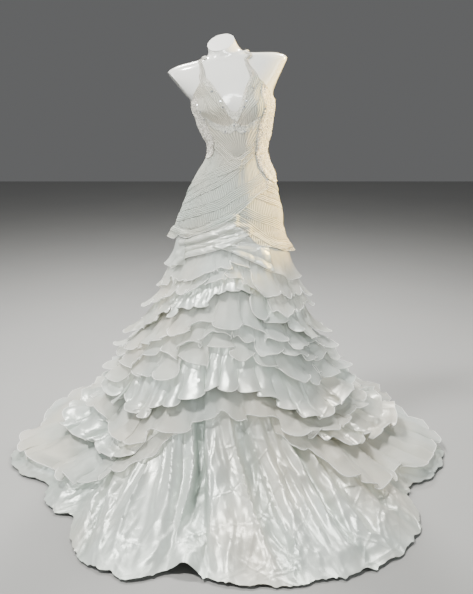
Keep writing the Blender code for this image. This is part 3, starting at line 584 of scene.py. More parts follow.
SATIN, SMOOTH_SATIN = make_satin("crumpled_satin", True), make_satin("smooth_satin", False)
print("satins:", SATIN.name, SMOOTH_SATIN.name, "with", len(SATIN.node_tree.nodes), "nodes in the first")

# %% [markdown]
# ## Organza
# Organza is a stiff, thin net that lets about half of the light through. Where two layers lie on each other
# it looks white, and where there is one it takes the grey of what is behind it. That is why it gets a plain
# transparency and not a paler colour. Its hems are rolled and sewn with a shinier thread.

# %% Organza and its rolled hem


def make_organza():
    """A see-through net, whiter on its ridges and greyer in its hollows, where shade is painted into its
    colour.
    """
    organza = Finish("white_organza", Roughness=0.45, Alpha=0.46, Sheen_Weight=0.35, Specular_IOR_Level=0.4)
    tint = organza.between(organza.grain(3.0, 2.0), 0.40, 0.66)
    # painted shade: a greyer colour where `lift` is low, in hollows and under the tier above
    ridge = organza.between(organza.value("lift"), 0.0, 0.7)
    colour = organza.blend(tint, (0.80, 0.845, 0.81), (0.90, 0.86, 0.76))
    organza.drive("Base Color", organza.blend(ridge, (0.54, 0.60, 0.565), colour))
    soft = organza.grain(1.0, 3.0, place=organza.cloth((55.0, 9.0, 1.0)))
    organza.bumps((organza.bands(520.0, "Z"), 0.0002, 0.15), (soft, 0.006, 0.30),
                  (organza.facets((30.0, 9.0, 1.0), 0.25), 0.006, 0.30))
    return organza.material


def make_thread():
    """Shiny thread, wound in slanting turns."""
    thread = Finish("rolled_hem_thread", Roughness=0.38, Specular_IOR_Level=0.6)
    turns = thread.bands(260.0, "DIAGONAL")
    thread.drive("Base Color", thread.blend(turns, (0.93, 0.94, 0.91), (0.98, 0.98, 0.94)))
    return thread.material


ORGANZA, THREAD = make_organza(), make_thread()
print("sheer cloth and its thread:", ORGANZA.name, THREAD.name)

# %% [markdown]
# ## Pleated tulle
# The bodice and the wraps are tulle in fine pleats, each folded over the next like shingles. Every such
# piece carries a value called `pleat` that counts pleats across the cloth. Its fraction is a saw tooth: it
# rises over one pleat and starts anew at the next. Folding each pleat in the mesh would take very many
# faces, so the material turns that count into a soft crown and a dark fold, as shade and as bump.

# %% Pleated tulle
FOLD_SHADE = (0.60, 0.62)  # how dark the fold of a pleat is beside its crown, in a cool and in a warm place


def make_tulle(name, cool, warm):
    """Tulle in fine pleats, which are read from the value called `pleat`."""
    tulle = Finish(name, Roughness=0.72, Sheen_Weight=0.35, Specular_IOR_Level=0.3)
    count = (tulle.value("pleat") + tulle.grain(24.0, 3.0) * 0.8).fraction()
    pleat = 1 - abs(count * 2.0 - 1.0)
    tint = tulle.between(tulle.grain(2.6, 2.0), 0.42, 0.66)
    folded = [tuple(shade * part for part in colour) for shade, colour in zip(FOLD_SHADE, (cool, warm))]
    tulle.drive("Base Color", tulle.blend(tulle.between(pleat, 0.05, 0.75), tulle.blend(tint, *folded),
                                          tulle.blend(tint, cool, warm)))
    tulle.bumps((tulle.grain(150.0, 2.0), 0.0010, 0.5), (pleat, 0.0024, 1.0))
    return tulle.material


TULLE = make_tulle("pleated_tulle", (0.58, 0.645, 0.58), (0.75, 0.68, 0.55))
CREAM_TULLE = make_tulle("cream_tulle", (0.78, 0.76, 0.69), (0.82, 0.78, 0.68))
print("tulles:", TULLE.name, CREAM_TULLE.name)

# %% [markdown]
# ## Beaded lace
# The side panels are corded lace: a thick cord sewn on a net in closed loops, with pearls and grey stones on
# it. The loops could be drawn one by one, but cells of a Voronoi pattern have the same closed outlines, and
# their edges make the cords. Pearls get a thin clear coat, the stones the shine of a metal backing.

# %% Lace, pearl and crystal


def make_lace():
    """Cords in closed loops on a darker net."""
    lace = Finish("corded_lace", Roughness=0.66, Sheen_Weight=0.2)
    cord = lace.between(lace.cells(62.0, "DISTANCE_TO_EDGE"), 0.02, 0.16, 1.0, 0.0)
    lace.drive("Base Color", lace.blend(cord, (0.50, 0.47, 0.41), (0.86, 0.82, 0.74)))
    lace.bumps((lace.grain(220.0, 2.0), 0.0006, 0.4), (1 - lace.cells(95.0, "SMOOTH_F1"), 0.003, 0.6),
               (cord, 0.0025, 0.8))
    return lace.material


LACE = make_lace()
PEARL = Finish("pearl_bead", Base_Color=(0.90, 0.87, 0.80, 1.0), Roughness=0.22, Coat_Weight=0.6)
CRYSTAL = Finish("grey_crystal", Base_Color=(0.62, 0.66, 0.70, 1.0), Roughness=0.06, Metallic=0.75)
PEARL.drive("Roughness", 0.16 + PEARL.grain(300.0) * 0.16)
CRYSTAL.drive("Roughness", 0.03 + CRYSTAL.grain(400.0) * 0.10)
print("on the lace:", PEARL.material.name, CRYSTAL.material.name)

# %% [markdown]
# ## The satin skirt
# The skirt carries everything below the hip. Its long folds are listed one by one: each runs from its own
# azimuth under the ruffles to its own azimuth at the floor, with a height, from a hollow to a ridge.
# Between them the cloth is crumpled, more so near the floor where it turns from hanging to lying. Ridged
# noise, the absolute value of soft noise turned upside down, gives crumples with sharp crests and round
# hollows. A cloth simulation could find folds of its own, but not these ones in these places, so they are
# set in a table.

# %% Long folds and crumples
# azimuth under the ruffles, azimuth at the floor, height there (1 is a ridge, 0 a hollow)
FOLD_LINES = np.array((
    (-176, -176, 1.0), (-168, -167, 0.1), (-158, -159, 0.9), (-151, -150, 0.0), (-142, -143, 1.0),
    (-133, -134, 0.2), (-125, -124, 0.8), (-118, -116, 0.1), (-109, -108, 1.0), (-100, -99, 0.0),
    (-92, -90, 0.9), (-84, -81, 0.2), (-77, -72, 1.0), (-70, -63, 0.1), (-66, -55, 0.7), (-61, -47, 0.15),
    (-57, -38, 0.95), (-53, -30.5, 0.05), (-50, -28, 0.85), (-44, -25, 0.60), (-36, -22, 0.85),
    (-28, -19, 0.55), (-21, -15.5, 0.95), (-18.6, -13.2, 0.40), (-16.6, -11, 1.0), (-14.6, -7.5, 0.02),
    (-11.5, -4.0, 0.05), (-10, -2.2, 0.80), (-6, 1.5, 0.95), (-2, 5.5, 0.60), (1.2, 8.8, 0.75),
    (2.4, 9.8, 1.0), (3.8, 11.2, 0.25), (7, 13.5, 0.0), (11, 16.0, 0.25), (14.5, 18.5, 0.90),
    (17, 20.5, 0.45), (19.5, 22.5, 0.75), (21.5, 24.0, 0.60), (23.8, 26, 1.0), (26, 29, 0.05),
    (29.5, 33.5, 0.95), (33, 36.5, 0.35), (38, 42, 0.9), (43, 47, 0.1), (49, 53, 0.85), (56, 60, 0.1),
    (63, 67, 1.0), (70, 74, 0.3), (77, 80, 0.8), (85, 87, 0.0), (94, 95, 1.0), (102, 103, 0.2),
    (111, 111, 0.9), (119, 119, 0.0), (129, 129, 1.0), (137, 137, 0.3), (146, 146, 0.8), (155, 154, 0.0),
    (165, 165, 1.0), (174, 174, 0.1), (184, 184, 1.0),
))
RUFFLES_END = 0.28  # height from which the folds run towards their places on the floor


def fold_height(arc, azimuth):
    """The long folds, from 0 in a hollow to 1 on a ridge. arc is a column, azimuth is a row."""
    out = np.zeros((len(arc), azimuth.size))
    top = arc_of(RUFFLES_END)
    for i, distance in enumerate(arc[:, 0]):
        share = (distance - top) / (ARC[-1] - top)
        lines = FOLD_LINES[:, 0] + share * (FOLD_LINES[:, 1] - FOLD_LINES[:, 0])
        out[i] = smooth(azimuth.reshape(-1), lines, FOLD_LINES[:, 2])
    return out


def crumple(points, seed, sharp=4.0):
    """Sharp crests over round hollows, from 0 to 1, about one to a unit of length."""
    bend = np.stack([noise(points * 0.5, seed + k) for k in range(3)], -1)
    return (1 - np.abs(noise(points + bend * 0.8, seed + 5))) ** sharp


def on_cloth(arc, azimuth, around, down, lean=0.0):
    """Cloth coordinates for noise: so many crests in 10 degrees and in a metre, leaning if asked."""
    arc, azimuth = np.broadcast_arrays(arc, azimuth)
    return np.stack([azimuth * around / 10 + lean * arc, arc * down, 0 * arc], -1)


# height, crests in 10 degrees, crests in a metre, lean, seed, only near the floor
CRUMPLES = (
    (0.011, 1.5, 2.2, 0.0, 3, False), (0.008, 2.2, 4.6, 4.0, 11, False), (0.008, 2.5, 5.2, -5.0, 17, False),
    (0.007, 2.6, 8.0, 6.0, 29, True), (0.004, 4.4, 14.0, -9.0, 37, True),
)
SKIRT_GAP, DEEPER = 0.0035, 1.30


def skirt_out(arc, azimuth):
    """How far the skirt stands out: its long folds, and crumples that grow towards the floor."""
    depth = DEEPER * smooth(arc, ARC, FALL[:, 2])
    low = np.clip((arc - 0.55) / 0.30, 0, 1)
    lowest = np.clip((arc - 0.90) / 0.30, 0, 1)
    hem = np.clip((ARC[-1] - arc) / 0.12, 0.3, 1)
    crumples = 0.0
    for height, around, down, lean, seed, near_floor in CRUMPLES:
        share = height * lowest if near_floor else height
        crumples = crumples + share * crumple(on_cloth(arc, azimuth, around, down, lean), seed)
    return SKIRT_GAP + depth * fold_height(arc, azimuth) + low * hem * crumples


def columns_between(start, stop, fine=0.5, coarse=1.5):
    """Azimuths from start to stop, close together where the front and the sides show."""
    turns = [start]
    while turns[-1] < stop - 1e-6:
        shown = abs((turns[-1] + 180) % 360 - 180) < 100
        turns.append(min(turns[-1] + (fine if shown else coarse), stop))
    return np.array(turns)


print("long folds:", int((FOLD_LINES[:, 2] > 0.5).sum()), "ridges in the table")

# %% [markdown]
# ## The panels of the skirt
# A skirt like this is cut in five panels whose seams run down from the hip. Each panel is one grid from the
# hip to the hem. Its rows lie closer together near the floor, where the folds and crumples are, and its hem
# is a little ragged. Points that would go through the floor are lifted onto it.

# %% Skirt panels
SKIRT_PANELS = {
    "skirt_front": (-35, 35), "skirt_side_right": (35, 110), "skirt_back_right": (110, 180),
    "skirt_back_left": (-180, -110), "skirt_side_left": (-110, -35),
}
HEM_ZONE, LYING = 0.12, 0.05  # metres of cloth next to the hem with close rows, and lying on the floor
down = np.concatenate([np.linspace(0, 0.5, 12)[:-1], np.linspace(0.5, ARC[-1] - HEM_ZONE, 72)[:-1],
                       np.linspace(ARC[-1] - HEM_ZONE, ARC[-1], 26)])[:, None]
for name, (start, stop) in SKIRT_PANELS.items():
    turns = columns_between(start, stop)
    ragged = sum(size * np.abs(noise(on_cloth(0 * turns, turns, around, 0), seed))
                 for size, around, seed in ((0.016, 3.0, 47), (0.008, 9.0, 53)))
    arcs = down - ragged * np.clip((down - ARC[-1] + 0.4) / 0.4, 0, 1)
    outs = skirt_out(down, turns[None, :])
    points = cloth(arcs, turns[None, :], outs)
    lowest = 0.0012 + 0.0015 * (1 - np.cos(np.radians(turns * 40))) * (down > ARC[-1] - LYING)
    points[..., 2] = np.maximum(points[..., 2], lowest)
    # `lift` is lower in the hollows of the long folds in the lower skirt, where the satin paints shade
    lift = np.where(down < 0.55, 1.0, 0.25 + 0.85 * fold_height(down, turns[None, :]))
    panel = shell(name, points, 0.001, (arcs, turns), {"lift": lift})
    declare_cut(panel, points, False)
    finish_piece(panel, SATIN, [name])
    layers.add(arcs, turns, outs)
print("skirt panels:", len(SKIRT_PANELS), "rows", len(down))

# %% [markdown]
# ## Ruffle tiers
# A ruffle is a strip that is longer at its hem than at its seam, so the hem has to wave. Two things make it
# look like cloth and not like a corrugated sheet. The waves differ in size and spacing, and they bend over:
# a crest is wider than its neck, because the spare length swings sideways as well as out. Here a wave moves
# out at its crest and sideways, away from the crest, on its flanks. Each hem is rolled and sewn. A Geometry
# Nodes tree lays that roll as a thin tube along every edge that is marked as hem.

# %% The ruffle's waves and rolled hem
HEM_ROLL = 0.0018


def rolled_hem_tree():
    """Geometry nodes: a thin tube along every edge whose two ends are marked hem_line."""
    tree = bpy.data.node_groups.new("rolled_hem", "GeometryNodeTree")
    tree.interface.new_socket("Geometry", in_out="INPUT", socket_type="NodeSocketGeometry")
    radius = tree.interface.new_socket("Radius", in_out="INPUT", socket_type="NodeSocketFloat")
    cord = tree.interface.new_socket("Thread", in_out="INPUT", socket_type="NodeSocketMaterial")
    tree.interface.new_socket("Geometry", in_out="OUTPUT", socket_type="NodeSocketGeometry")
    add, link = tree.nodes.new, tree.links.new
    given, result = add("NodeGroupInput"), add("NodeGroupOutput")
    marked = add("GeometryNodeInputNamedAttribute")
    marked.data_type = "FLOAT"
    marked.inputs["Name"].default_value = "hem_line"
    whole = add("FunctionNodeCompare")
    whole.inputs["B"].default_value = 0.99
    line, ring, tube = (add(kind) for kind in (
        "GeometryNodeMeshToCurve", "GeometryNodeCurvePrimitiveCircle", "GeometryNodeCurveToMesh"))
    ring.inputs["Resolution"].default_value = 5
    tube.inputs["Fill Caps"].default_value = True
    smooth_it, painted, joined, real = (add(kind) for kind in (
        "GeometryNodeSetShadeSmooth", "GeometryNodeSetMaterial", "GeometryNodeJoinGeometry",
        "GeometryNodeRealizeInstances"))
    link(marked.outputs["Attribute"], whole.inputs["A"])
    link(given.outputs["Geometry"], line.inputs["Mesh"])
    link(whole.outputs[0], line.inputs["Selection"])
    link(given.outputs["Radius"], ring.inputs["Radius"])
    link(line.outputs[0], tube.inputs["Curve"])
    link(ring.outputs[0], tube.inputs["Profile Curve"])
    link(tube.outputs[0], smooth_it.inputs[0])
    link(smooth_it.outputs[0], painted.inputs["Geometry"])
    link(given.outputs["Thread"], painted.inputs["Material"])
    link(painted.outputs[0], joined.inputs[0])
    link(given.outputs["Geometry"], joined.inputs[0])
    link(joined.outputs[0], real.inputs[0])
    link(real.outputs[0], result.inputs[0])
    return tree, radius.identifier, cord.identifier


ROLLED_HEM = rolled_hem_tree()


def apply_tree(piece, tree, inputs):
    """Runs a node tree on a piece and keeps its result as a plain mesh. inputs go by identifier."""
    modifier = piece.modifiers.new(tree.name, "NODES")
    modifier.node_group = tree
    for key, value in inputs.items():
        modifier[key] = value
    graph = bpy.context.evaluated_depsgraph_get()
    finished = bpy.data.meshes.new_from_object(piece.evaluated_get(graph))
    piece.modifiers.clear()
    piece.data = finished
    return finished


def roll_hem(piece, columns, cloth_material, radius=HEM_ROLL):
    """Marks the last row of a shell's outer face, which is its hem, and rolls the thread along it."""
    marks = np.zeros(len(piece.data.vertices))
    outer = len(marks) // 2
    marks[outer - columns:outer] = 1.0
    set_attribute(piece.data, "hem_line", marks)
    piece.data.materials.append(cloth_material)
    tree, radius_id, thread_id = ROLLED_HEM
    apply_tree(piece, tree, {radius_id: radius, thread_id: THREAD})


print("rolled hem:", len(ROLLED_HEM[0].nodes), "nodes")

# %% [markdown]
# The places of the flutes at the front and the sides are listed one by one. Round the back they follow by
# chance, with a fixed seed. A flute has a width, a size, and a measure of how far its crest folds over.

# %% Flutes of the ruffles

# Azimuths of the flutes at the front and the sides, tier by tier
FLUTES = {
    "tier_01": (-90, -77, -60, -43, -26, -9, 9, 30, 52, 71, 91),
    "tier_02": (-92, -74, -57, -41, -27, -12, 3, 20, 41, 64, 90),
    "tier_03": (-88, -71, -59, -43, -33, -23, -10, 2, 12, 22, 35, 48, 68, 92),
    "tier_04": (-91, -80, -63, -48, -33, -17, -2, 17, 31, 50, 67, 90),
    "tier_05": (-90, -73, -53, -37, -23, -8, 11, 25, 42, 59, 75, 91),
    "tier_06": (-92, -79, -62, -48, -31, -19, -4, 9, 22, 37, 55, 74, 90),
    "tier_07": (-91, -80, -69, -60, -51, -44, -38, -31, -24, -17, -6, 2, 12, 20, 27, 36, 47, 59, 74, 89),
    "tier_08": (-95, -85, -76, -66, -57, -49, -38, -25, -10, 4, 16, 27, 35, 44, 53, 62, 71, 79, 89),
    "tier_09": (-97, -89, -81, -75, -68, -63, -56, -51, -46, -39, 33, 39, 45, 50, 57, 64, 71, 78, 87, 96),
    "tier_10": (-99, -93, -86, -80, -73, -66, -61, -55, -50, -43, -38, 27, 32, 38, 43, 50, 57, 63, 71, 77,
                85, 93),
}


SHOWN_TURNS = 150.0  # the flutes of a tier are spaced as if they filled about this many degrees


def flutes_of(tier, seed):
    """All flutes of a tier: azimuth, half width in degrees, size and how far they fold over."""
    chance = np.random.default_rng(seed)
    places = list(FLUTES[tier])
    gap = SHOWN_TURNS / len(places)
    while places[-1] + 1.7 * gap < FLUTES[tier][0] + 360:
        places.append(places[-1] + gap * chance.uniform(0.8, 1.4))
    places = np.array(places, float)
    room = np.minimum(places - np.roll(places, 1), np.roll(places, -1) - places) % 360
    widths = np.clip(room, 5, 18) * chance.uniform(0.26, 0.44, len(places))
    sizes = np.where(np.abs(np.abs(places) - 90) < 4, 1.0, chance.uniform(0.40, 1.0, len(places)))
    return np.stack([places, widths, sizes, chance.uniform(1.2, 3.4, len(places))], -1)


def flute_waves(turns, flutes):
    """How far up each place is on a flute, and how far the cloth swings sideways there, in degrees."""
    flat, swing = np.ones(turns.shape), np.zeros(turns.shape)
    for place, width, size, fold in flutes:
        away = (turns - place + 180) % 360 - 180
        bell = size * np.exp(-((away / width) ** 2))
        flat = flat * (1 - bell)
        swing = swing + fold * away * bell / size
    return 1 - flat, swing


print("flutes set by hand:", sum(len(places) for places in FLUTES.values()))

# %% [markdown]
# The heights of the hems come from a table, one row a tier. Each tier starts just under the hem of the tier
# above it, so no seam shows, and the lowest is laid first.

# %% Tiers
# name: cloth, start, stop, crest, heights of the hem at front, left, right, side, back
TIERS = {
    "tier_10": ("organza", 20, 340, 0.036, 0.420, 0.048, 0.058, 0.012, 0.014),
    "tier_09": ("satin", 25, 330, 0.044, 0.450, 0.110, 0.165, 0.090, 0.080),
    "tier_08": ("organza", -180, 180, 0.036, 0.345, 0.165, 0.205, 0.200, 0.160),
    "tier_07": ("satin", -180, 180, 0.052, 0.435, 0.275, 0.270, 0.300, 0.245),
    "tier_06": ("organza", -180, 180, 0.040, 0.540, 0.420, 0.420, 0.365, 0.320),
    "tier_05": ("organza", -180, 180, 0.042, 0.590, 0.485, 0.480, 0.415, 0.375),
    "tier_04": ("organza", -180, 180, 0.040, 0.645, 0.550, 0.535, 0.465, 0.435),
    "tier_03": ("satin", -180, 180, 0.044, 0.745, 0.655, 0.600, 0.520, 0.500),
    "tier_02": ("organza", -180, 180, 0.038, 0.790, 0.720, 0.655, 0.640, 0.600),
    "tier_01": ("organza", -180, 180, 0.028, 0.830, 0.770, 0.710, 0.700, 0.690),
}
OVERLAP, FIRST_TOP, NEAR_FRONT = 0.028, 0.905, 0.58
TIER_ROWS, TIER_GAP, SEAM_STAND = 15, 0.0025, 0.006
OPEN_END = 25.0  # degrees over which a tier that doesn't close runs out
FLOOR_GAP = 0.004


def hem_arc(tier, turns):
    """Where the hem of a tier lies, down the cloth, at each azimuth."""
    front, left, right, side, back = TIERS[tier][4:]
    near_left, near_right = left + NEAR_FRONT * (front - left), right + NEAR_FRONT * (front - right)
    heights = (back, side, left, near_left, front, near_right, right, side, back)
    return arc_of(smooth((turns + 180) % 360 - 180, (-180, -90, -45, -20, 0, 20, 45, 90, 180), heights))


def line_noise(turns, around, seed, row=0.0):
    """Noise along a hem, with so many crests in a degree."""
    return noise(np.stack([turns * around, 0 * turns, 0 * turns + row], -1), seed)


def build_tier(name, above, seed):
    """One ruffle tier: its strip from under the tier above to its hem, and then its waves."""
    kind, start, stop, crest = TIERS[name][:4]
    closed = stop - start == 360
    turns = columns_between(start, stop, 0.6, 1.6)
    if closed:
        turns = turns[:-1]
    from_end = 1.0 if closed else np.minimum(turns - start, stop - turns) / OPEN_END
    hem = hem_arc(name, turns)
    top = arc_of(FIRST_TOP) + 0 * turns if above is None else hem_arc(above, turns) - OVERLAP
    top = np.minimum(top, hem - OVERLAP)
    wave, sideways = flute_waves(turns, flutes_of(name, seed))
    reach = np.interp(hem, (arc_of(0.85), arc_of(0.60), arc_of(0.30)), (0.55, 0.85, 1.0))
    reach = reach * np.clip(from_end, 0.15, 1)
    share = np.linspace(0, 1, TIER_ROWS)[:, None] ** 0.85
    ragged = 0.026 * line_noise(turns, 0.13, seed, seed) + 0.012 * line_noise(turns, 0.45, seed + 3, seed)
    arcs = top + (hem + 0.026 * (wave - 0.45) + ragged - top) * share
    spots = turns + sideways * share**1.3 * np.clip(from_end, 0, 1)
    layers.fill(4)
    stand = TIER_GAP + (SEAM_STAND + (crest - SEAM_STAND) * wave) * reach * share**1.15
    outs = layers.under(arcs, spots) + stand
    frill = 0.0060 * noise(on_cloth(0 * turns, turns, 3.4 * (0.35 + hem.mean()), 0), seed + 31)
    outs = outs + frill * np.clip((share - 0.6) / 0.4, 0, 1) ** 1.5
    crease = 0.005 if kind == "organza" else 0.008
    outs = outs + crease * crumple(on_cloth(arcs, spots, 2.6, 7.0, 3.0), seed) * np.minimum(2 * share, 1)
    points = cloth(arcs, spots, outs)
    points[..., 2] = np.maximum(points[..., 2], FLOOR_GAP)
    # `lift` is lower at the seam, under the tier above, and between the flutes: there the material paints
    # shade
    piece = shell(name, points, 0.0007, (arcs, turns), {"lift": 0.35 + 0.4 * share + 0.5 * wave}, closed)
    roll_hem(piece, len(turns), SATIN if kind == "satin" else ORGANZA)
    declare_cut(piece, points, closed)
    finish_piece(piece, None, [name])
    if closed:
        turns = np.append(turns, turns[0] + 360)
        arcs, outs = (np.concatenate([grid, grid[:, :1]], 1) for grid in (arcs, outs))
    layers.add(arcs, turns, outs)
    return piece


for number, (name, above) in enumerate(zip(TIERS, [*list(TIERS)[1:], None])):
    piece = build_tier(name, above, 100 + number)
    print(name, CUTS[name], len(piece.data.polygons), "faces")

# %% [markdown]
# ## Wraps, bands and bodice
# Every other piece lies on the body between an upper and a lower edge. A row of the table is an azimuth, the
# height of the two edges there and how far the lower edge stands off. A piece then needs only its cloth, its
# relief and the way its pleats run.

# %% Edges of the pieces
EDGES = {
    "hip_flounce_right": (
        (30, 0.925, 0.815, 0.004), (45, 0.915, 0.790, 0.010), (60, 0.900, 0.760, 0.014),
        (90, 0.885, 0.745, 0.018), (130, 0.895, 0.750, 0.014), (180, 0.905, 0.750, 0.014),
    ),
    "satin_band_right": (
        (-15, 0.920, 0.900, 0.002), (0, 0.930, 0.884, 0.003), (10, 0.950, 0.866, 0.004),
        (25, 0.950, 0.835, 0.006), (35, 0.925, 0.808, 0.009), (40, 0.915, 0.800, 0.010),
    ),
    "satin_band_lower": (
        (-65, 0.910, 0.795, 0.010), (-60, 0.915, 0.803, 0.008), (-50, 0.922, 0.846, 0.006),
        (-30, 0.945, 0.870, 0.005), (-10, 0.972, 0.894, 0.004), (5, 0.990, 0.918, 0.004),
        (20, 0.980, 0.948, 0.002),
    ),
    "satin_band_upper": (
        (-60, 0.950, 0.897, 0.004), (-50, 0.947, 0.903, 0.004), (-30, 0.972, 0.922, 0.004),
        (-10, 1.005, 0.952, 0.004), (5, 1.020, 0.978, 0.002),
    ),
    "hip_flounce_left": (
        (-180, 0.920, 0.780, 0.014), (-130, 0.930, 0.785, 0.016), (-90, 0.950, 0.795, 0.020),
        (-70, 0.950, 0.800, 0.012), (-50, 0.945, 0.825, 0.001),
    ),
    "hip_wrap_right": (
        (-10, 1.020, 0.995, 0.001), (0, 1.035, 0.990, 0.001), (15, 1.075, 0.955, 0.003),
        (30, 1.110, 0.904, 0.004), (45, 1.126, 0.893, 0.006), (65, 1.124, 0.870, 0.008),
        (80, 1.116, 0.860, 0.014), (90, 1.110, 0.852, 0.024), (100, 1.106, 0.860, 0.010),
    ),
    "hip_side_right": ((50, 1.232, 1.110, 0.0), (75, 1.232, 1.098, 0.0), (100, 1.232, 1.086, 0.0)),
    "hip_back_right": ((100, 1.232, 0.860, 0.010), (120, 1.232, 0.875, 0.010), (180, 1.232, 0.880, 0.010)),
    "hip_back_left": ((-180, 1.232, 0.880, 0.010), (-120, 1.232, 0.910, 0.010), (-95, 1.236, 0.905, 0.030)),
    "hip_wrap_left": (
        (-95, 1.236, 0.905, 0.030), (-85, 1.240, 0.905, 0.027), (-73, 1.262, 0.928, 0.010),
        (-50, 1.272, 0.926, 0.005), (-40, 1.262, 0.938, 0.003), (-20, 1.238, 0.968, 0.002),
        (-5, 1.218, 0.997, 0.001), (10, 1.222, 1.032, 0.001), (30, 1.248, 1.085, 0.001),
        (50, 1.262, 1.110, 0.001),
    ),
    "midriff_front": (
        (-45, 1.338, 1.262, 0.0), (-30, 1.338, 1.246, 0.0), (-8, 1.338, 1.215, 0.0), (6, 1.338, 1.212, 0.0),
        (24, 1.338, 1.238, 0.0), (40, 1.338, 1.262, 0.0),
    ),
    "cup_left": (
        (-45, 1.465, 1.338, 0.0), (-35, 1.481, 1.338, 0.0), (-25, 1.502, 1.338, 0.0),
        (-20, 1.515, 1.338, 0.0), (-15, 1.510, 1.338, 0.0), (-10, 1.428, 1.338, 0.0),
        (-5, 1.397, 1.338, 0.0), (0, 1.387, 1.338, 0.0), (5, 1.389, 1.338, 0.0),
    ),
    "cup_right": (
        (5, 1.389, 1.338, 0.0), (10, 1.412, 1.338, 0.0), (15, 1.452, 1.338, 0.0),
        (20, 1.515, 1.338, 0.0), (25, 1.508, 1.338, 0.0), (30, 1.492, 1.338, 0.0),
        (40, 1.473, 1.338, 0.0),
    ),
    "side_panel_left": (
        (-100, 1.405, 1.222, 0.0), (-75, 1.422, 1.214, 0.0), (-60, 1.443, 1.222, 0.0),
        (-54, 1.450, 1.240, 0.0), (-45, 1.465, 1.290, 0.0),
    ),
    "side_panel_right": (
        (38, 1.473, 1.250, 0.0), (44, 1.466, 1.175, 0.0), (55, 1.449, 1.140, 0.0), (75, 1.430, 1.124, 0.0),
        (100, 1.408, 1.130, 0.0),
    ),
    "back_left": (
        (-180, 1.300, 1.232, 0.0), (-150, 1.315, 1.232, 0.0), (-120, 1.365, 1.232, 0.0),
        (-100, 1.405, 1.232, 0.0),
    ),
    "back_right": (
        (100, 1.408, 1.232, 0.0), (120, 1.365, 1.232, 0.0), (150, 1.315, 1.232, 0.0),
        (180, 1.300, 1.232, 0.0),
    ),
    "waist_wrap_left": (
        (-72, 1.328, 1.292, 0.001), (-52, 1.296, 1.256, 0.001), (-30, 1.268, 1.226, 0.001),
        (-8, 1.232, 1.192, 0.001), (8, 1.214, 1.182, 0.001),
    ),
    "waist_wrap_right": (
        (-95, 1.100, 1.072, 0.001), (-62, 1.150, 1.114, 0.001), (-40, 1.180, 1.142, 0.001),
        (-18, 1.204, 1.162, 0.001), (6, 1.234, 1.190, 0.001), (24, 1.260, 1.216, 0.001),
        (50, 1.308, 1.270, 0.001),
    ),
}
print("pieces laid between two edges:", len(EDGES))

# %% [markdown]
# Relief is what stands out of a piece. Pleated tulle has groups of pleats, a saw tooth across the piece. On
# the wraps and the cups, bundles of slanting pleats lie over pleats that run down the body. The satin bands
# have a few long soft rolls with sharp hollows between them.

# %% Reliefs


def pleat_groups(across, arcs, turns, count, height):
    """Shingled groups of pleats: a slow rise and a quick drop."""
    waver = 0.55 * noise(np.stack([turns * 0.05, across * 2.0, 0 * arcs + count], -1), 71)
    tooth = (across * count + waver) % 1.0
    return height * np.where(tooth < 0.82, tooth / 0.82, (1 - tooth) / 0.18)


# Bundles of pleats that lie over the others: (azimuth, height) along the middle, half width, step in height
SWATHES = {
    "hip_wrap_left": (
        (((-95, 0.985), (-79, 0.993), (-50, 1.018), (-29, 1.039), (-12, 1.061), (-1, 1.085), (16, 1.112),
          (34, 1.138), (50, 1.160)), 0.017, 0.0010),
        (((-95, 1.040), (-70, 1.062), (-45, 1.096), (-25, 1.122), (-10, 1.150), (10, 1.192),
          (50, 1.262)), 0.011, 0.0008),
        (((-95, 0.940), (-57, 0.944), (-35, 0.957), (-19, 0.982), (-4, 1.008), (9, 1.040), (21, 1.064),
          (38, 1.092), (50, 1.112)), 0.015, 0.0010),
    ),
    "hip_wrap_right": (
        (((-10, 1.020), (1, 1.009), (15, 0.984), (29, 0.950), (43, 0.918), (60, 0.895),
          (100, 0.880)), 0.018, 0.0010),
        (((0, 1.052), (13, 1.036), (29, 1.010), (49, 0.986), (100, 0.930)), 0.016, 0.0010),
        (((24, 1.095), (37, 1.079), (54, 1.061), (100, 1.022)), 0.013, 0.0009),
        (((40, 1.122), (51, 1.109), (69, 1.091), (100, 1.064)), 0.011, 0.0009),
    ),
    "hip_back_left": (
        (((-180, 1.120), (-140, 1.080), (-95, 1.040)), 0.015, 0.0014),
        (((-180, 1.040), (-140, 1.010), (-95, 0.985)), 0.018, 0.0014),
    ),
    "hip_back_right": (
        (((100, 1.022), (140, 1.060), (180, 1.120)), 0.015, 0.0014),
        (((100, 0.930), (140, 0.975), (180, 1.040)), 0.018, 0.0014),
    ),
    "cup_left": (
        (((-36, 1.520), (-29, 1.463), (-25, 1.423), (-19, 1.388), (-12, 1.354), (-7, 1.325)), 0.017, 0.0007),
    ),
    "cup_right": (
        (((3, 1.345), (5, 1.353), (13, 1.384), (20, 1.411), (28, 1.436), (40, 1.500)), 0.015, 0.0007),
    ),
}
PLEAT = 0.0066  # width of a pleat
BUNDLE_WAVE = 0.012  # one soft wave across a bundle


def swathes(name, arcs, turns):
    """Pleats that run down the body, and over them bundles of slanting ones: their count and their height."""
    count = turns * 0.42 + 0.4 * noise(np.stack([turns * 0.08, arcs * 9.0, 0 * arcs], -1), 61)
    height = 0.0006 * noise(np.stack([turns * 0.21, arcs * 4.0, 0 * arcs], -1), 67)
    for middle, half, step in SWATHES.get(name, ()):
        middle = np.array(middle)
        line = smooth(turns, middle[:, 0], arc_of(middle[:, 1]))
        slope = np.gradient(line, axis=1) / np.gradient(np.radians(turns) * 0.17, axis=1)
        away = (arcs - line) / np.sqrt(1 + slope * slope)
        inside = np.abs(away) < half
        count = np.where(inside, away / PLEAT + 40.0, count)
        lip = np.clip((half - np.abs(away)) / 0.003, 0, 1)
        height = height + step * lip * (0.75 + 0.25 * np.cos(away * 2 * math.pi / BUNDLE_WAVE))
    return count, height


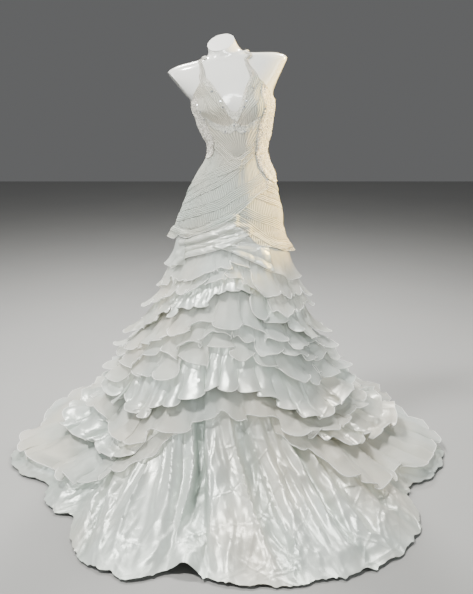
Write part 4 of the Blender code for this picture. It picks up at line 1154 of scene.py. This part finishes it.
def long_rolls(across, arcs, turns, rolls):
    """Soft rolls along a band. A roll is (place across, width, height, drift per degree)."""
    out = np.zeros(arcs.shape)
    for place, width, height, drift in rolls:
        centre = place + drift * (turns + 20)
        away = (across - centre) / width
        out = np.maximum(out, height * np.clip(1 - away * away, 0, 1) ** 0.55)
    creases = 0.002 * crumple(on_cloth(arcs, turns, 1.2, 60.0, 30.0), 43)
    return out + creases


BAND_ROLLS = {
    "satin_band_upper": ((0.30, 0.34, 0.008, 0.0), (0.80, 0.24, 0.010, 0.001)),
    "satin_band_lower": ((0.22, 0.24, 0.008, 0.001), (0.55, 0.16, 0.012, 0.001), (0.84, 0.20, 0.009, 0.0)),
    "satin_band_right": ((0.25, 0.26, 0.008, 0.0), (0.60, 0.22, 0.010, -0.002), (0.88, 0.16, 0.009, 0.0)),
}
print("bands with rolls:", len(BAND_ROLLS), "pieces with bundles:", len(SWATHES))

# %% [markdown]
# ## Laying a piece between its edges
# The piece asks the map what is under it, adds its relief and is written into the map in its turn. Towards
# its lower edge it may stand off in waves, as a loose hem does. The order of the pieces is the order in which
# a dressmaker would sew them on: what is laid later lies over what is laid sooner.

# %% Lay a piece
CLOTH_THICKNESS, LAYER_GAP, FINE_ROLL = 0.0011, 0.0010, 0.0008


def piece_grid(name, rows, step):
    """Arcs, azimuths, place across and lift of a piece between its edges."""
    table = np.array(EDGES[name])
    turns = np.linspace(table[0, 0], table[-1, 0], int(round((table[-1, 0] - table[0, 0]) / step)) + 1)
    top, bottom, lift = (smooth(turns, table[:, 0], table[:, i]) for i in (1, 2, 3))
    across = np.linspace(0, 1, rows)[:, None]
    arcs = arc_of(top) + across * (arc_of(bottom) - arc_of(top))
    return arcs, np.broadcast_to(turns, arcs.shape), np.broadcast_to(across, arcs.shape), lift


def lay_piece(name, material, rows, step, relief, hem_waves=0, rolled=True):
    """Lays one piece. relief gives how far it stands out and, for tulle, the count of its pleats."""
    arcs, turns, across, lift = piece_grid(name, rows, step)
    layers.fill(3)
    height, pleats = relief(across, arcs, turns)
    outs = layers.under(arcs, turns) + LAYER_GAP + height
    wave = 0.55 + 0.45 * np.cos(np.radians(turns * hem_waves) + 2.0 * np.sin(np.radians(turns * 3)))
    outs = outs + lift * np.clip((across - 0.55) / 0.45, 0, 1) ** 1.8 * wave
    points = cloth(arcs, turns, outs)
    values = {"lift": 1.0} if pleats is None else {"lift": 1.0, "pleat": pleats}
    piece = shell(name, points, CLOTH_THICKNESS, (arcs, turns), values)
    if rolled:
        roll_hem(piece, turns.shape[1], material, FINE_ROLL)
    declare_cut(piece, points, False)
    finish_piece(piece, material, [name])
    layers.add(arcs, turns[0], outs)


print("cloth", CLOTH_THICKNESS * 1000, "mm thick, layers", LAYER_GAP * 1000, "mm apart")

# %% [markdown]
# ## Flounces and satin bands
# Below the wraps the hip carries thin organza flounces at its corners and, between them, satin that is
# pinned up in soft folds. The flounces go on first, because the bands cover their upper edges at the front.

# %% Flounces and bands


def flounce(across, arcs, turns):
    """A flounce stands off evenly and is only a little uneven."""
    return 0.002 * noise(np.stack([turns * 0.16, across, 0 * across], -1), 5) + 0.002, None


for name in ("hip_flounce_right", "satin_band_right", "satin_band_lower", "satin_band_upper",
             "hip_flounce_left"):
    if name in BAND_ROLLS:
        def folded(across, arcs, turns, rolls=BAND_ROLLS[name]):
            return long_rolls(across, arcs, turns, rolls), None

        lay_piece(name, SMOOTH_SATIN, 42, 0.5, folded)
    else:
        lay_piece(name, ORGANZA, 24, 1.0, flounce, 14)
    print(name, CUTS[name])

# %% [markdown]
# ## Pleated pieces and lace panels
# The wraps cross over the hip and the waist, the cups over the bust. The pleats of the midriff spread like a
# fan from the place where the waist's wraps cross. The lace panels are laid last of all. They have no pleats
# but stand out in soft lumps, because the corded net is stiff.

# %% Pleated pieces and lace panels
# name: material, rows, step in degrees, waves of the hem
TULLE_PIECES = {
    "hip_side_right": (LACE, 40, 1.0, 0), "hip_wrap_right": (TULLE, 78, 0.75, 13),
    "hip_back_right": (TULLE, 64, 1.5, 11), "hip_back_left": (TULLE, 64, 1.5, 11),
    "hip_wrap_left": (TULLE, 86, 0.75, 13), "midriff_front": (TULLE, 40, 1.0, 0),
    "cup_left": (TULLE, 64, 0.75, 0), "cup_right": (TULLE, 64, 0.75, 0),
    "back_left": (TULLE, 44, 1.5, 0), "back_right": (TULLE, 44, 1.5, 0),
    "waist_wrap_left": (TULLE, 36, 0.75, 0), "waist_wrap_right": (TULLE, 30, 0.75, 0),
    "side_panel_left": (LACE, 60, 1.0, 0), "side_panel_right": (LACE, 70, 1.0, 0),
}
# name: groups of pleats, fine pleats across
PLAIN_PLEATS = {
    "back_left": (5, 26), "back_right": (5, 26), "waist_wrap_left": (3, 6), "waist_wrap_right": (3, 6),
}
GROUP_HEIGHT, TULLE_STAND, LACE_STAND, LACE_LUMP = 0.0012, 0.0008, 0.0004, 0.0034


def fan(arcs, turns):
    """Counts the pleats of the midriff round the place at the waist where its wraps cross."""
    across, up = np.radians(turns - 2.0) * 0.105, 1.205 + arcs - HIP_HEIGHT
    return np.degrees(np.arctan2(across, -up + 0.004)) / 4.6


def tulle_relief(name, across, arcs, turns):
    """How far a pleated or a lace piece stands out, and the count of its pleats."""
    if name in SWATHES:
        count, height = swathes(name, arcs, turns)
        return TULLE_STAND + height, count
    if name in PLAIN_PLEATS:
        groups, fine = PLAIN_PLEATS[name]
        return pleat_groups(across, arcs, turns, groups, GROUP_HEIGHT), across * fine
    if name == "midriff_front":
        return TULLE_STAND, fan(arcs, turns)
    from_end = np.clip(np.minimum(turns - turns.min(), turns.max() - turns) / 6.0, 0, 1)
    lumps = crumple(surface(arcs, turns) * 52.0, 31, 1.5)
    return LACE_STAND + (LACE_STAND + LACE_LUMP * lumps) * from_end, None


for name, (material, rows, step, waves) in TULLE_PIECES.items():
    def relief(across, arcs, turns, name=name):
        return tulle_relief(name, across, arcs, turns)

    lay_piece(name, material, rows, step, relief, waves, waves > 0)
print("pleated and lace pieces laid:", len(TULLE_PIECES))

# %% [markdown]
# ## Straps
# Each strap is a flat folded band of a creamier tulle, from the top of a cup over the collar bone to the back
# of the neck, where the two meet. A curve with a flat profile would twist on its way round the neck. Here the
# strap is a grid across a line of places on the body, so it always lies flat on the form.

# %% Halter straps
# height, azimuth, width in millimetres
STRAPS = {
    "strap_left": (
        (1.487, -22, 30), (1.512, -19.5, 25), (1.538, -18, 17), (1.556, -19, 14), (1.571, -27, 12),
        (1.583, -48, 12), (1.588, -80, 12), (1.588, -115, 12), (1.584, -150, 12), (1.581, -179, 12),
    ),
    "strap_right": (
        (1.480, 26, 36), (1.508, 21, 27), (1.530, 16.5, 18), (1.546, 13.5, 14), (1.559, 13, 12),
        (1.570, 20, 12), (1.580, 38, 12), (1.588, 75, 12), (1.588, 115, 12), (1.584, 150, 12),
        (1.581, 179, 12),
    ),
}
layers.fill(2)
for name, passed in STRAPS.items():
    passed = np.array(passed)
    at = np.linspace(0, len(passed) - 1, 110)
    height, turn, width = (smooth(at, np.arange(len(passed)), passed[:, i]) for i in (0, 1, 2))
    arcs = HIP_HEIGHT - height
    middle = surface(arcs, turn)
    normal = outward(arcs, turn)
    across = unit(np.cross(normal, np.gradient(middle, axis=0)))
    share = np.linspace(-0.5, 0.5, 15)[:, None, None]
    under = np.maximum(0.0015, layers.under(arcs, turn))[:, None]
    crown = 0.0014 * (1 - (2 * share) ** 2) + 0.0006 * np.cos(share * 24)
    rise = np.clip((height - 1.498) / 0.022, 0, 1)[:, None]
    stand = (crown + LAYER_GAP + under) * rise + 0.0003
    points = middle + across * width[:, None] / 1000 * share + normal * stand
    share = share[..., 0]
    strap = shell(name, points, 0.0014, (arcs + 0 * share, share * 3 + 0 * arcs), {"pleat": share * 5 + 2})
    declare_cut(strap, points, False)
    finish_piece(strap, CREAM_TULLE, [name])
print("straps:", {name: CUTS[name] for name in STRAPS})

# %% [markdown]
# ## Lace trim
# A narrow lace edges the V and runs under the bust. Its net is far too fine to build cord by cord, so it is a
# strip whose transparency follows a net, and the tulle shows between its cords. Its lower edge is scalloped
# by a value called `edge`.

# %% Lace trim


def make_open_lace():
    """Lace that is open between its cords and flowers, and ends at the scalloped edge."""
    lace = Finish("open_lace", Roughness=0.55, Sheen_Weight=0.2)
    cord = lace.between(lace.cells(150.0, "DISTANCE_TO_EDGE"), 0.05, 0.14, 1.0, 0.0)
    flower = lace.between(lace.cells(70.0), 0.30, 0.42, 1.0, 0.0)
    solid = cord.math("MAXIMUM", cord, flower)
    lace.drive("Alpha", lace.between(solid, 0.0, 1.0, 0.72) * lace.value("edge"))
    lace.drive("Base Color", lace.blend(cord, (0.70, 0.69, 0.61), (0.90, 0.88, 0.79)))
    lace.bumps((solid, 0.002, 0.8))
    return lace.material


OPEN_LACE = make_open_lace()
# name: rows of azimuth, height of the upper edge, height of the lower edge
TRIMS = {
    "neck_lace_left": ((-21, 1.516, 1.488), (-15.5, 1.508, 1.470), (-10, 1.429, 1.392), (-5, 1.399, 1.366),
                       (0, 1.389, 1.352), (2.5, 1.388, 1.350)),
    "neck_lace_right": ((2.5, 1.388, 1.350), (5, 1.391, 1.356), (10, 1.414, 1.380), (15, 1.454, 1.412),
                        (21, 1.515, 1.480)),
    "under_bust_lace": ((-40, 1.372, 1.330), (-25, 1.346, 1.316), (-12, 1.338, 1.306), (0, 1.350, 1.318),
                        (12, 1.338, 1.306), (25, 1.352, 1.318), (38, 1.376, 1.336)),
}
for name, rows_of in TRIMS.items():
    table = np.array(rows_of)
    turns = np.linspace(table[0, 0], table[-1, 0], 70)
    top, bottom = (arc_of(smooth(turns, table[:, 0], table[:, i])) for i in (1, 2))
    across = np.linspace(0, 1, 14)[:, None]
    arcs = top + across * (bottom - top)
    layers.fill(2)
    outs = layers.under(arcs, turns[None, :]) + LAYER_GAP
    points = cloth(arcs, turns[None, :], outs)
    scallop = 0.78 + 0.22 * np.abs(np.sin(np.radians(turns * 14)))
    edge = np.clip((scallop - across) / 0.06, 0, 1)
    trim = shell(name, points, 0.0006, (arcs, turns), {"edge": edge})
    declare_cut(trim, points, False)
    finish_piece(trim, OPEN_LACE, [])
    layers.add(arcs, turns, outs)
print("lace trims:", len(TRIMS))

# %% [markdown]
# ## Pearls
# The lace is sewn all over with small pearls, close together but never two in one place. Geometry Nodes do
# that well: points are spread over a face with a least distance and a fixed seed, a small ball is put on each
# and turned into real faces. A ball has only 80 faces, because there are hundreds of them.

# %% Pearls
BALL_FACES = 80  # of an icosphere that is divided once


def scatter_tree():
    """Geometry nodes: small pearls scattered over a face, all made real."""
    tree = bpy.data.node_groups.new("scattered_pearls", "GeometryNodeTree")
    face = tree.interface.new_socket
    face("Geometry", in_out="INPUT", socket_type="NodeSocketGeometry")
    density = face("Density", in_out="INPUT", socket_type="NodeSocketFloat")
    spacing = face("Spacing", in_out="INPUT", socket_type="NodeSocketFloat")
    radius = face("Radius", in_out="INPUT", socket_type="NodeSocketFloat")
    finish = face("Pearl", in_out="INPUT", socket_type="NodeSocketMaterial")
    face("Geometry", in_out="OUTPUT", socket_type="NodeSocketGeometry")
    add, link = tree.nodes.new, tree.links.new
    given, result = add("NodeGroupInput"), add("NodeGroupOutput")
    spread, ball, put, size, real, paint, round_off = (add(kind) for kind in (
        "GeometryNodeDistributePointsOnFaces", "GeometryNodeMeshIcoSphere", "GeometryNodeInstanceOnPoints",
        "FunctionNodeRandomValue", "GeometryNodeRealizeInstances", "GeometryNodeSetMaterial",
        "GeometryNodeSetShadeSmooth"))
    spread.distribute_method = "POISSON"
    spread.inputs["Seed"].default_value = 7
    ball.inputs["Subdivisions"].default_value = 1
    size.inputs[2].default_value, size.inputs[3].default_value = 0.6, 1.25
    size.inputs["Seed"].default_value = 3
    link(given.outputs["Geometry"], spread.inputs["Mesh"])
    link(given.outputs["Density"], spread.inputs["Density Max"])
    link(given.outputs["Spacing"], spread.inputs["Distance Min"])
    link(given.outputs["Radius"], ball.inputs["Radius"])
    link(spread.outputs["Points"], put.inputs["Points"])
    link(ball.outputs["Mesh"], put.inputs["Instance"])
    link(size.outputs[1], put.inputs["Scale"])
    link(put.outputs[0], real.inputs[0])
    link(real.outputs[0], round_off.inputs[0])
    link(round_off.outputs[0], paint.inputs["Geometry"])
    link(given.outputs["Pearl"], paint.inputs["Material"])
    link(paint.outputs[0], result.inputs[0])
    return tree, [socket.identifier for socket in (density, spacing, radius, finish)]


PEARL_TREE = scatter_tree()


def scatter_pearls(name, edges, density, spacing, radius):
    """Pearls over a patch of the dress between an upper and a lower edge."""
    table = np.array(edges)
    turns = np.linspace(table[0, 0], table[-1, 0], 40)
    top, bottom = (arc_of(smooth(turns, table[:, 0], table[:, i])) for i in (1, 2))
    arcs = top + np.linspace(0.06, 0.94, 20)[:, None] * (bottom - top)
    layers.filled = layers.reached
    points = cloth(arcs, turns[None, :], layers.under(arcs, turns[None, :]) + 0.0006)
    mesh = bpy.data.meshes.new(name)
    faces = grid_faces(np.arange(arcs.size).reshape(arcs.shape))
    mesh.from_pydata(points.reshape(-1, 3).tolist(), [], faces.tolist())
    piece = put_in_scene(name, mesh)
    tree, ids = PEARL_TREE
    finished = apply_tree(piece, tree, dict(zip(ids, (density, spacing, radius, PEARL.material))))
    finish_piece(piece, PEARL.material, [])
    print(name, len(finished.polygons) // BALL_FACES, "pearls")


# name: edges of the patch, most pearls on a square metre, least distance, radius
PEARL_PATCHES = {
    "pearls_left": (EDGES["side_panel_left"], 60000, 0.0065, 0.0019),
    "pearls_right": (EDGES["side_panel_right"], 60000, 0.0065, 0.0019),
    "pearls_neck_left": (TRIMS["neck_lace_left"], 90000, 0.0042, 0.0013),
    "pearls_neck_right": (TRIMS["neck_lace_right"], 90000, 0.0042, 0.0013),
    "pearls_under_bust": (TRIMS["under_bust_lace"], 60000, 0.0050, 0.0013),
}
for name, patch in PEARL_PATCHES.items():
    scatter_pearls(name, *patch)

# %% [markdown]
# ## Crystals
# Here and there a larger faceted stone sits among the pearls. There are only a few, so each is listed one by
# one. A stone is three rings of eight corners: a girdle with a smaller ring under it and the flat table
# above, joined by facets.

# %% Crystals
# azimuth, height, radius in millimetres
CRYSTAL_PLACES = (
    (-18, 1.466, 4.4), (-20, 1.465, 2.6), (-14, 1.427, 4.2), (-13, 1.406, 3.8), (25, 1.462, 4.0),
    (22, 1.468, 2.6), (17, 1.423, 4.0), (14, 1.404, 4.2), (12, 1.396, 2.6), (39, 1.396, 3.8),
    (38, 1.372, 3.8), (40, 1.384, 2.4), (-46, 1.418, 3.4), (-43, 1.392, 3.4), (-45, 1.362, 3.6),
    (-16, 1.318, 3.4),
    (17, 1.318, 4.2), (14, 1.320, 2.6), (-1, 1.340, 4.0), (0, 1.352, 2.4), (0, 1.322, 2.4),
)
# share of the radius, height over the cloth, degrees turned: lower ring, girdle, table
STONE_RINGS = ((0.85, -0.0006, 0.0), (1.0, 0.0008, 22.5), (0.55, 0.0024, 0.0))
CORNERS = 8


def keep_form(form, name):
    """Turns a bmesh into a mesh object whose faces point outwards."""
    bmesh.ops.recalc_face_normals(form, faces=form.faces)
    mesh = bpy.data.meshes.new(name)
    form.to_mesh(mesh)
    form.free()
    return put_in_scene(name, mesh)


def build_crystals():
    """Faceted stones: a flat table, a crown of facets and a girdle."""
    form = bmesh.new()
    for turn, height, radius in CRYSTAL_PLACES:
        arc, turn = np.array([HIP_HEIGHT - height]), np.array([float(turn)])
        base, ahead = cloth(arc, turn, layers.under(arc, turn))[0], outward(arc, turn)[0]
        side = unit(np.cross(np.array((0, 0, 1.0)), ahead))
        up = np.cross(ahead, side)
        size = radius / 1000
        loops = []
        for share, lift, turned in STONE_RINGS:
            angles = np.radians(np.arange(CORNERS) * 360 / CORNERS + turned)
            ring = [base + size * share * (math.cos(a) * side + math.sin(a) * up) + ahead * lift
                    for a in angles]
            loops.append([form.verts.new(p) for p in ring])
        for low, high in zip(loops, loops[1:]):
            for j in range(CORNERS):
                k = (j + 1) % CORNERS
                form.faces.new((low[j], low[k], high[k], high[j]))
        form.faces.new(loops[-1])
        form.faces.new(loops[0][::-1])
    return finish_piece(keep_form(form, "crystals"), CRYSTAL.material, [])


print("crystals:", len(CRYSTAL_PLACES), len(build_crystals().data.polygons), "facets")

# %% [markdown]
# ## The form
# The limbless form is a glossy white moulding on a pole and a foot of brushed steel. Gloss comes from a low
# roughness and a coat, a little uneven, because such a shell is handled and polished for years. The steel is
# drawn out in very fine lines round the pole.

# %% Finishes of the form


def make_gloss():
    """A glossy white moulding, slightly mottled."""
    gloss = Finish("gloss_white_shell", Roughness=0.16, Coat_Weight=0.5, Specular_IOR_Level=0.6)
    mottle = gloss.between(gloss.grain(5.0, 4.0), 0.35, 0.7)
    gloss.drive("Base Color", gloss.blend(mottle, (0.83, 0.83, 0.80), (0.88, 0.87, 0.83)))
    gloss.drive("Roughness", 0.12 + gloss.grain(12.0, 3.0) * 0.14)
    gloss.bumps((gloss.grain(16.0, 2.0), 0.0015, 0.15), (gloss.grain(420.0, 2.0), 0.0002, 0.15))
    return gloss.material


def make_steel():
    """Steel with very fine lines round the pole."""
    steel = Finish("brushed_steel", Metallic=1.0)
    stretched = steel.node("ShaderNodeMapping", Vector=steel.place(), Scale=(30.0, 30.0, 900.0))
    lines = steel.grain(1.0, 2.0, place=stretched)
    steel.drive("Base Color", steel.blend(lines, (0.52, 0.53, 0.54), (0.64, 0.64, 0.64)))
    steel.drive("Roughness", 0.24 + lines * 0.2)
    return steel.material


GLOSS, STEEL = make_gloss(), make_steel()
print("finishes of the form:", GLOSS.name, STEEL.name)

# %% [markdown]
# ## The torso
# The torso is a loft through the same surface that carries the cloth, 3 mm smaller, so nothing touches. Its
# arms end in flat cuts and its neck in a flat tilted one. A Boolean could take the arms off, but a plane that
# cuts the mesh is simpler and leaves one clean flat face. Each cut stops at the armpit, because below it the
# torso's side has to stay whole behind the dress.

# %% Cut the arms
FORM_CLEARANCE = 0.003
# one arm a row, from the top: a place on the plane, the way it faces, the height where it stops
ARM_CUTS = (
    (((-0.224, 0, 1.520), (-0.76, -0.16, -0.63), 1.425),),
    (((0.207, 0, 1.566), (0.90, -0.10, -0.44), 1.475), ((0.1625, 0, 1.475), (1.0, -0.11, 0.0), 1.437)),
)


def cut_arm(form, planes):
    """Cuts an arm off with one plane under another and closes the cut with one flat face for each plane."""

    def everything():
        return form.verts[:] + form.edges[:] + form.faces[:]

    above = 9.0
    for place, way, stop in planes:
        on, way = Vector(SHIFT) + Vector(place), Vector(way)
        bmesh.ops.bisect_plane(form, geom=everything(), plane_co=(0, 0, stop), plane_no=(0, 0, 1))
        bmesh.ops.bisect_plane(form, geom=everything(), plane_co=on, plane_no=way)
        spare = [face for face in form.faces if stop < face.calc_center_median().z < above
                 and (face.calc_center_median() - on).dot(way) > 1e-6]
        bmesh.ops.delete(form, geom=spare, context="FACES")
        above = stop
    rim = [edge for edge in form.edges if edge.is_boundary]
    loop = [rim[0].verts[0], rim[0].verts[1]]
    while loop[-1] is not loop[0]:
        here, before = loop[-1], loop[-2]
        ahead = [edge.other_vert(here) for edge in here.link_edges if edge.is_boundary]
        loop.append([vertex for vertex in ahead if vertex is not before][0])
    loop.pop()
    bends = [i for i, vertex in enumerate(loop) if abs(vertex.co.z - planes[0][2]) < 1e-5]
    if len(planes) > 1 and len(bends) == 2:
        low, high = bends
        form.faces.new(loop[low:high + 1])
        form.faces.new(loop[high:] + loop[:low + 1])
    else:
        form.faces.new(loop)


print("planes that cut the arms:", sum(len(planes) for planes in ARM_CUTS))

# %% [markdown]
# The pole and the foot keep the shapes that they already have as plain solids, because a tube and a plate
# need nothing more. They only get their steel.

# %% Torso, pole and foot


def build_torso():
    """The loft from the hip to the neck, with its arms cut off."""
    heights = np.concatenate([np.linspace(0.885, 1.56, 90), np.linspace(1.563, 1.631, 24)])
    turns = np.arange(0, 360, 3.0)
    points = surface(HIP_HEIGHT - heights[::-1][:, None], turns[None, :])
    centre = points.mean(1, keepdims=True)
    points = points + unit(centre - points) * FORM_CLEARANCE
    form = bmesh.new()
    loops = [[form.verts.new(p) for p in row] for row in points]
    for high, low in zip(loops, loops[1:]):
        for j in range(len(turns)):
            k = (j + 1) % len(turns)
            form.faces.new((high[j], low[j], low[k], high[k]))
    form.faces.new(loops[0])
    form.faces.new(loops[-1][::-1])
    for planes in ARM_CUTS:
        cut_arm(form, planes)
    torso = keep_form(form, "torso_shell")
    torso.data.shade_smooth()
    torso.data.set_sharp_from_angle(angle=math.radians(38))
    return finish_piece(torso, GLOSS, ["form_torso"])


print("torso:", len(build_torso().data.polygons), "faces")
for name in ("form_pole", "form_base"):
    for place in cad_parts[name].material_slots:
        place.material = STEEL

# %% [markdown]
# ## Floor, light and camera
# A pale floor keeps the eye on the cloth. The key is a small strong lamp high up on the left, so each fold
# throws a shadow. A tall cool window light and a low fill from the right keep those shadows open, and a weak
# narrow light from the front lifts the bodice alone. Two lamps high up behind edge the ruffles. A small warm
# spot from the right makes the torso's side glow like evening sun.

# %% Stage
# name: place, place aimed at, size, watts, colour, spread in degrees
LIGHTS = {
    "key": ((-1.5, -1.2, 3.9), (0.0, 0.0, 0.5), (0.5, 0.5), 176, (1.0, 0.99, 0.94), 180),
    "window": ((-3.2, -0.8, 1.5), (0.0, 0.0, 0.5), (0.5, 2.0), 30, (0.95, 0.99, 1.0), 180),
    "front": ((0.3, -3.8, 2.9), (0.0, 0.0, 1.42), (1.3, 1.0), 7.5, (0.98, 1.0, 0.98), 38),
    "right_fill": ((3.2, -1.7, 1.4), (0.0, 0.0, 0.5), (0.8, 1.6), 35, (0.94, 1.0, 0.98), 180),
    "back_left": ((-0.9, 1.7, 3.4), (0.0, 0.0, 0.4), (0.5, 0.5), 115, (1.0, 0.98, 0.94), 180),
    "back_right": ((1.1, 1.5, 3.4), (0.0, 0.0, 0.4), (0.5, 0.5), 100, (1.0, 0.98, 0.94), 180),
}


def set_lamp(light, place, aim, watts, colour):
    """Puts a light in the scene, turned towards the place that it is aimed at."""
    light.energy, light.color = watts, colour
    lamp = put_in_scene(light.name, light)
    lamp.location = Vector(place) + Vector(SHIFT)
    lamp.rotation_euler = (Vector(aim) - Vector(place)).to_track_quat("-Z", "Y").to_euler()


floor_mesh = bpy.data.meshes.new("floor")
floor_mesh.from_pydata([(-9, -9, 0), (9, -9, 0), (9, 9, 0), (-9, 9, 0)], [], [(0, 1, 2, 3)])
floor = put_in_scene("floor", floor_mesh)
floor.location.z = -0.0005
pale = Finish("pale_floor", Roughness=0.85)
pale.drive("Base Color", pale.blend(pale.grain(1.2, 2.0), (0.38, 0.38, 0.38), (0.42, 0.42, 0.41)))
floor_mesh.materials.append(pale.material)

for name, (place, aim, size, watts, colour, spread) in LIGHTS.items():
    panel_light = bpy.data.lights.new(name, "AREA")
    panel_light.shape, panel_light.spread = "RECTANGLE", math.radians(spread)
    panel_light.size, panel_light.size_y = size
    set_lamp(panel_light, place, aim, watts, colour)

warm_side = bpy.data.lights.new("warm_side", "SPOT")
warm_side.shadow_soft_size, warm_side.spot_size, warm_side.spot_blend = 0.04, math.radians(30), 0.5
set_lamp(warm_side, (2.6, 0.35, 1.9), (0.0, 0.0, 1.42), 1500, (1.0, 0.72, 0.24))

world = bpy.data.worlds.new("soft_room")
world.use_nodes = True
world.node_tree.nodes["Background"].inputs["Color"].default_value = (0.80, 0.81, 0.82, 1.0)
world.node_tree.nodes["Background"].inputs["Strength"].default_value = 0.16
bpy.context.scene.world = world
print("lights:", len(LIGHTS) + 1)

# %% [markdown]
# ## Camera
# The camera stands at chest height, 3 m away, and looks down by about 15 degrees, so the train is seen from
# above and the bodice almost straight on. Its sensor is fitted to the height, because the frame is upright.

# %% Camera
camera_data = bpy.data.cameras.new("camera")
camera = put_in_scene("camera", camera_data)
camera.location = Vector(SHIFT) + Vector((0.025, -3.0, 1.5))
camera.rotation_euler = (math.radians(90 - 15.52), 0.0, 0.0)
camera_data.sensor_fit = "VERTICAL"
camera_data.sensor_height = 36.0
camera_data.lens = 47.44
bpy.context.scene.camera = camera
print("camera at", [round(v, 3) for v in camera.location])

# %% [markdown]
# ## Measure and finish
# The flat cut of every cloth piece is printed: its width, its length and its area.

# %% Sizes and finish
print("flat cuts (width, length, area):")
for name, cut in CUTS.items():
    print("  ", name, cut)
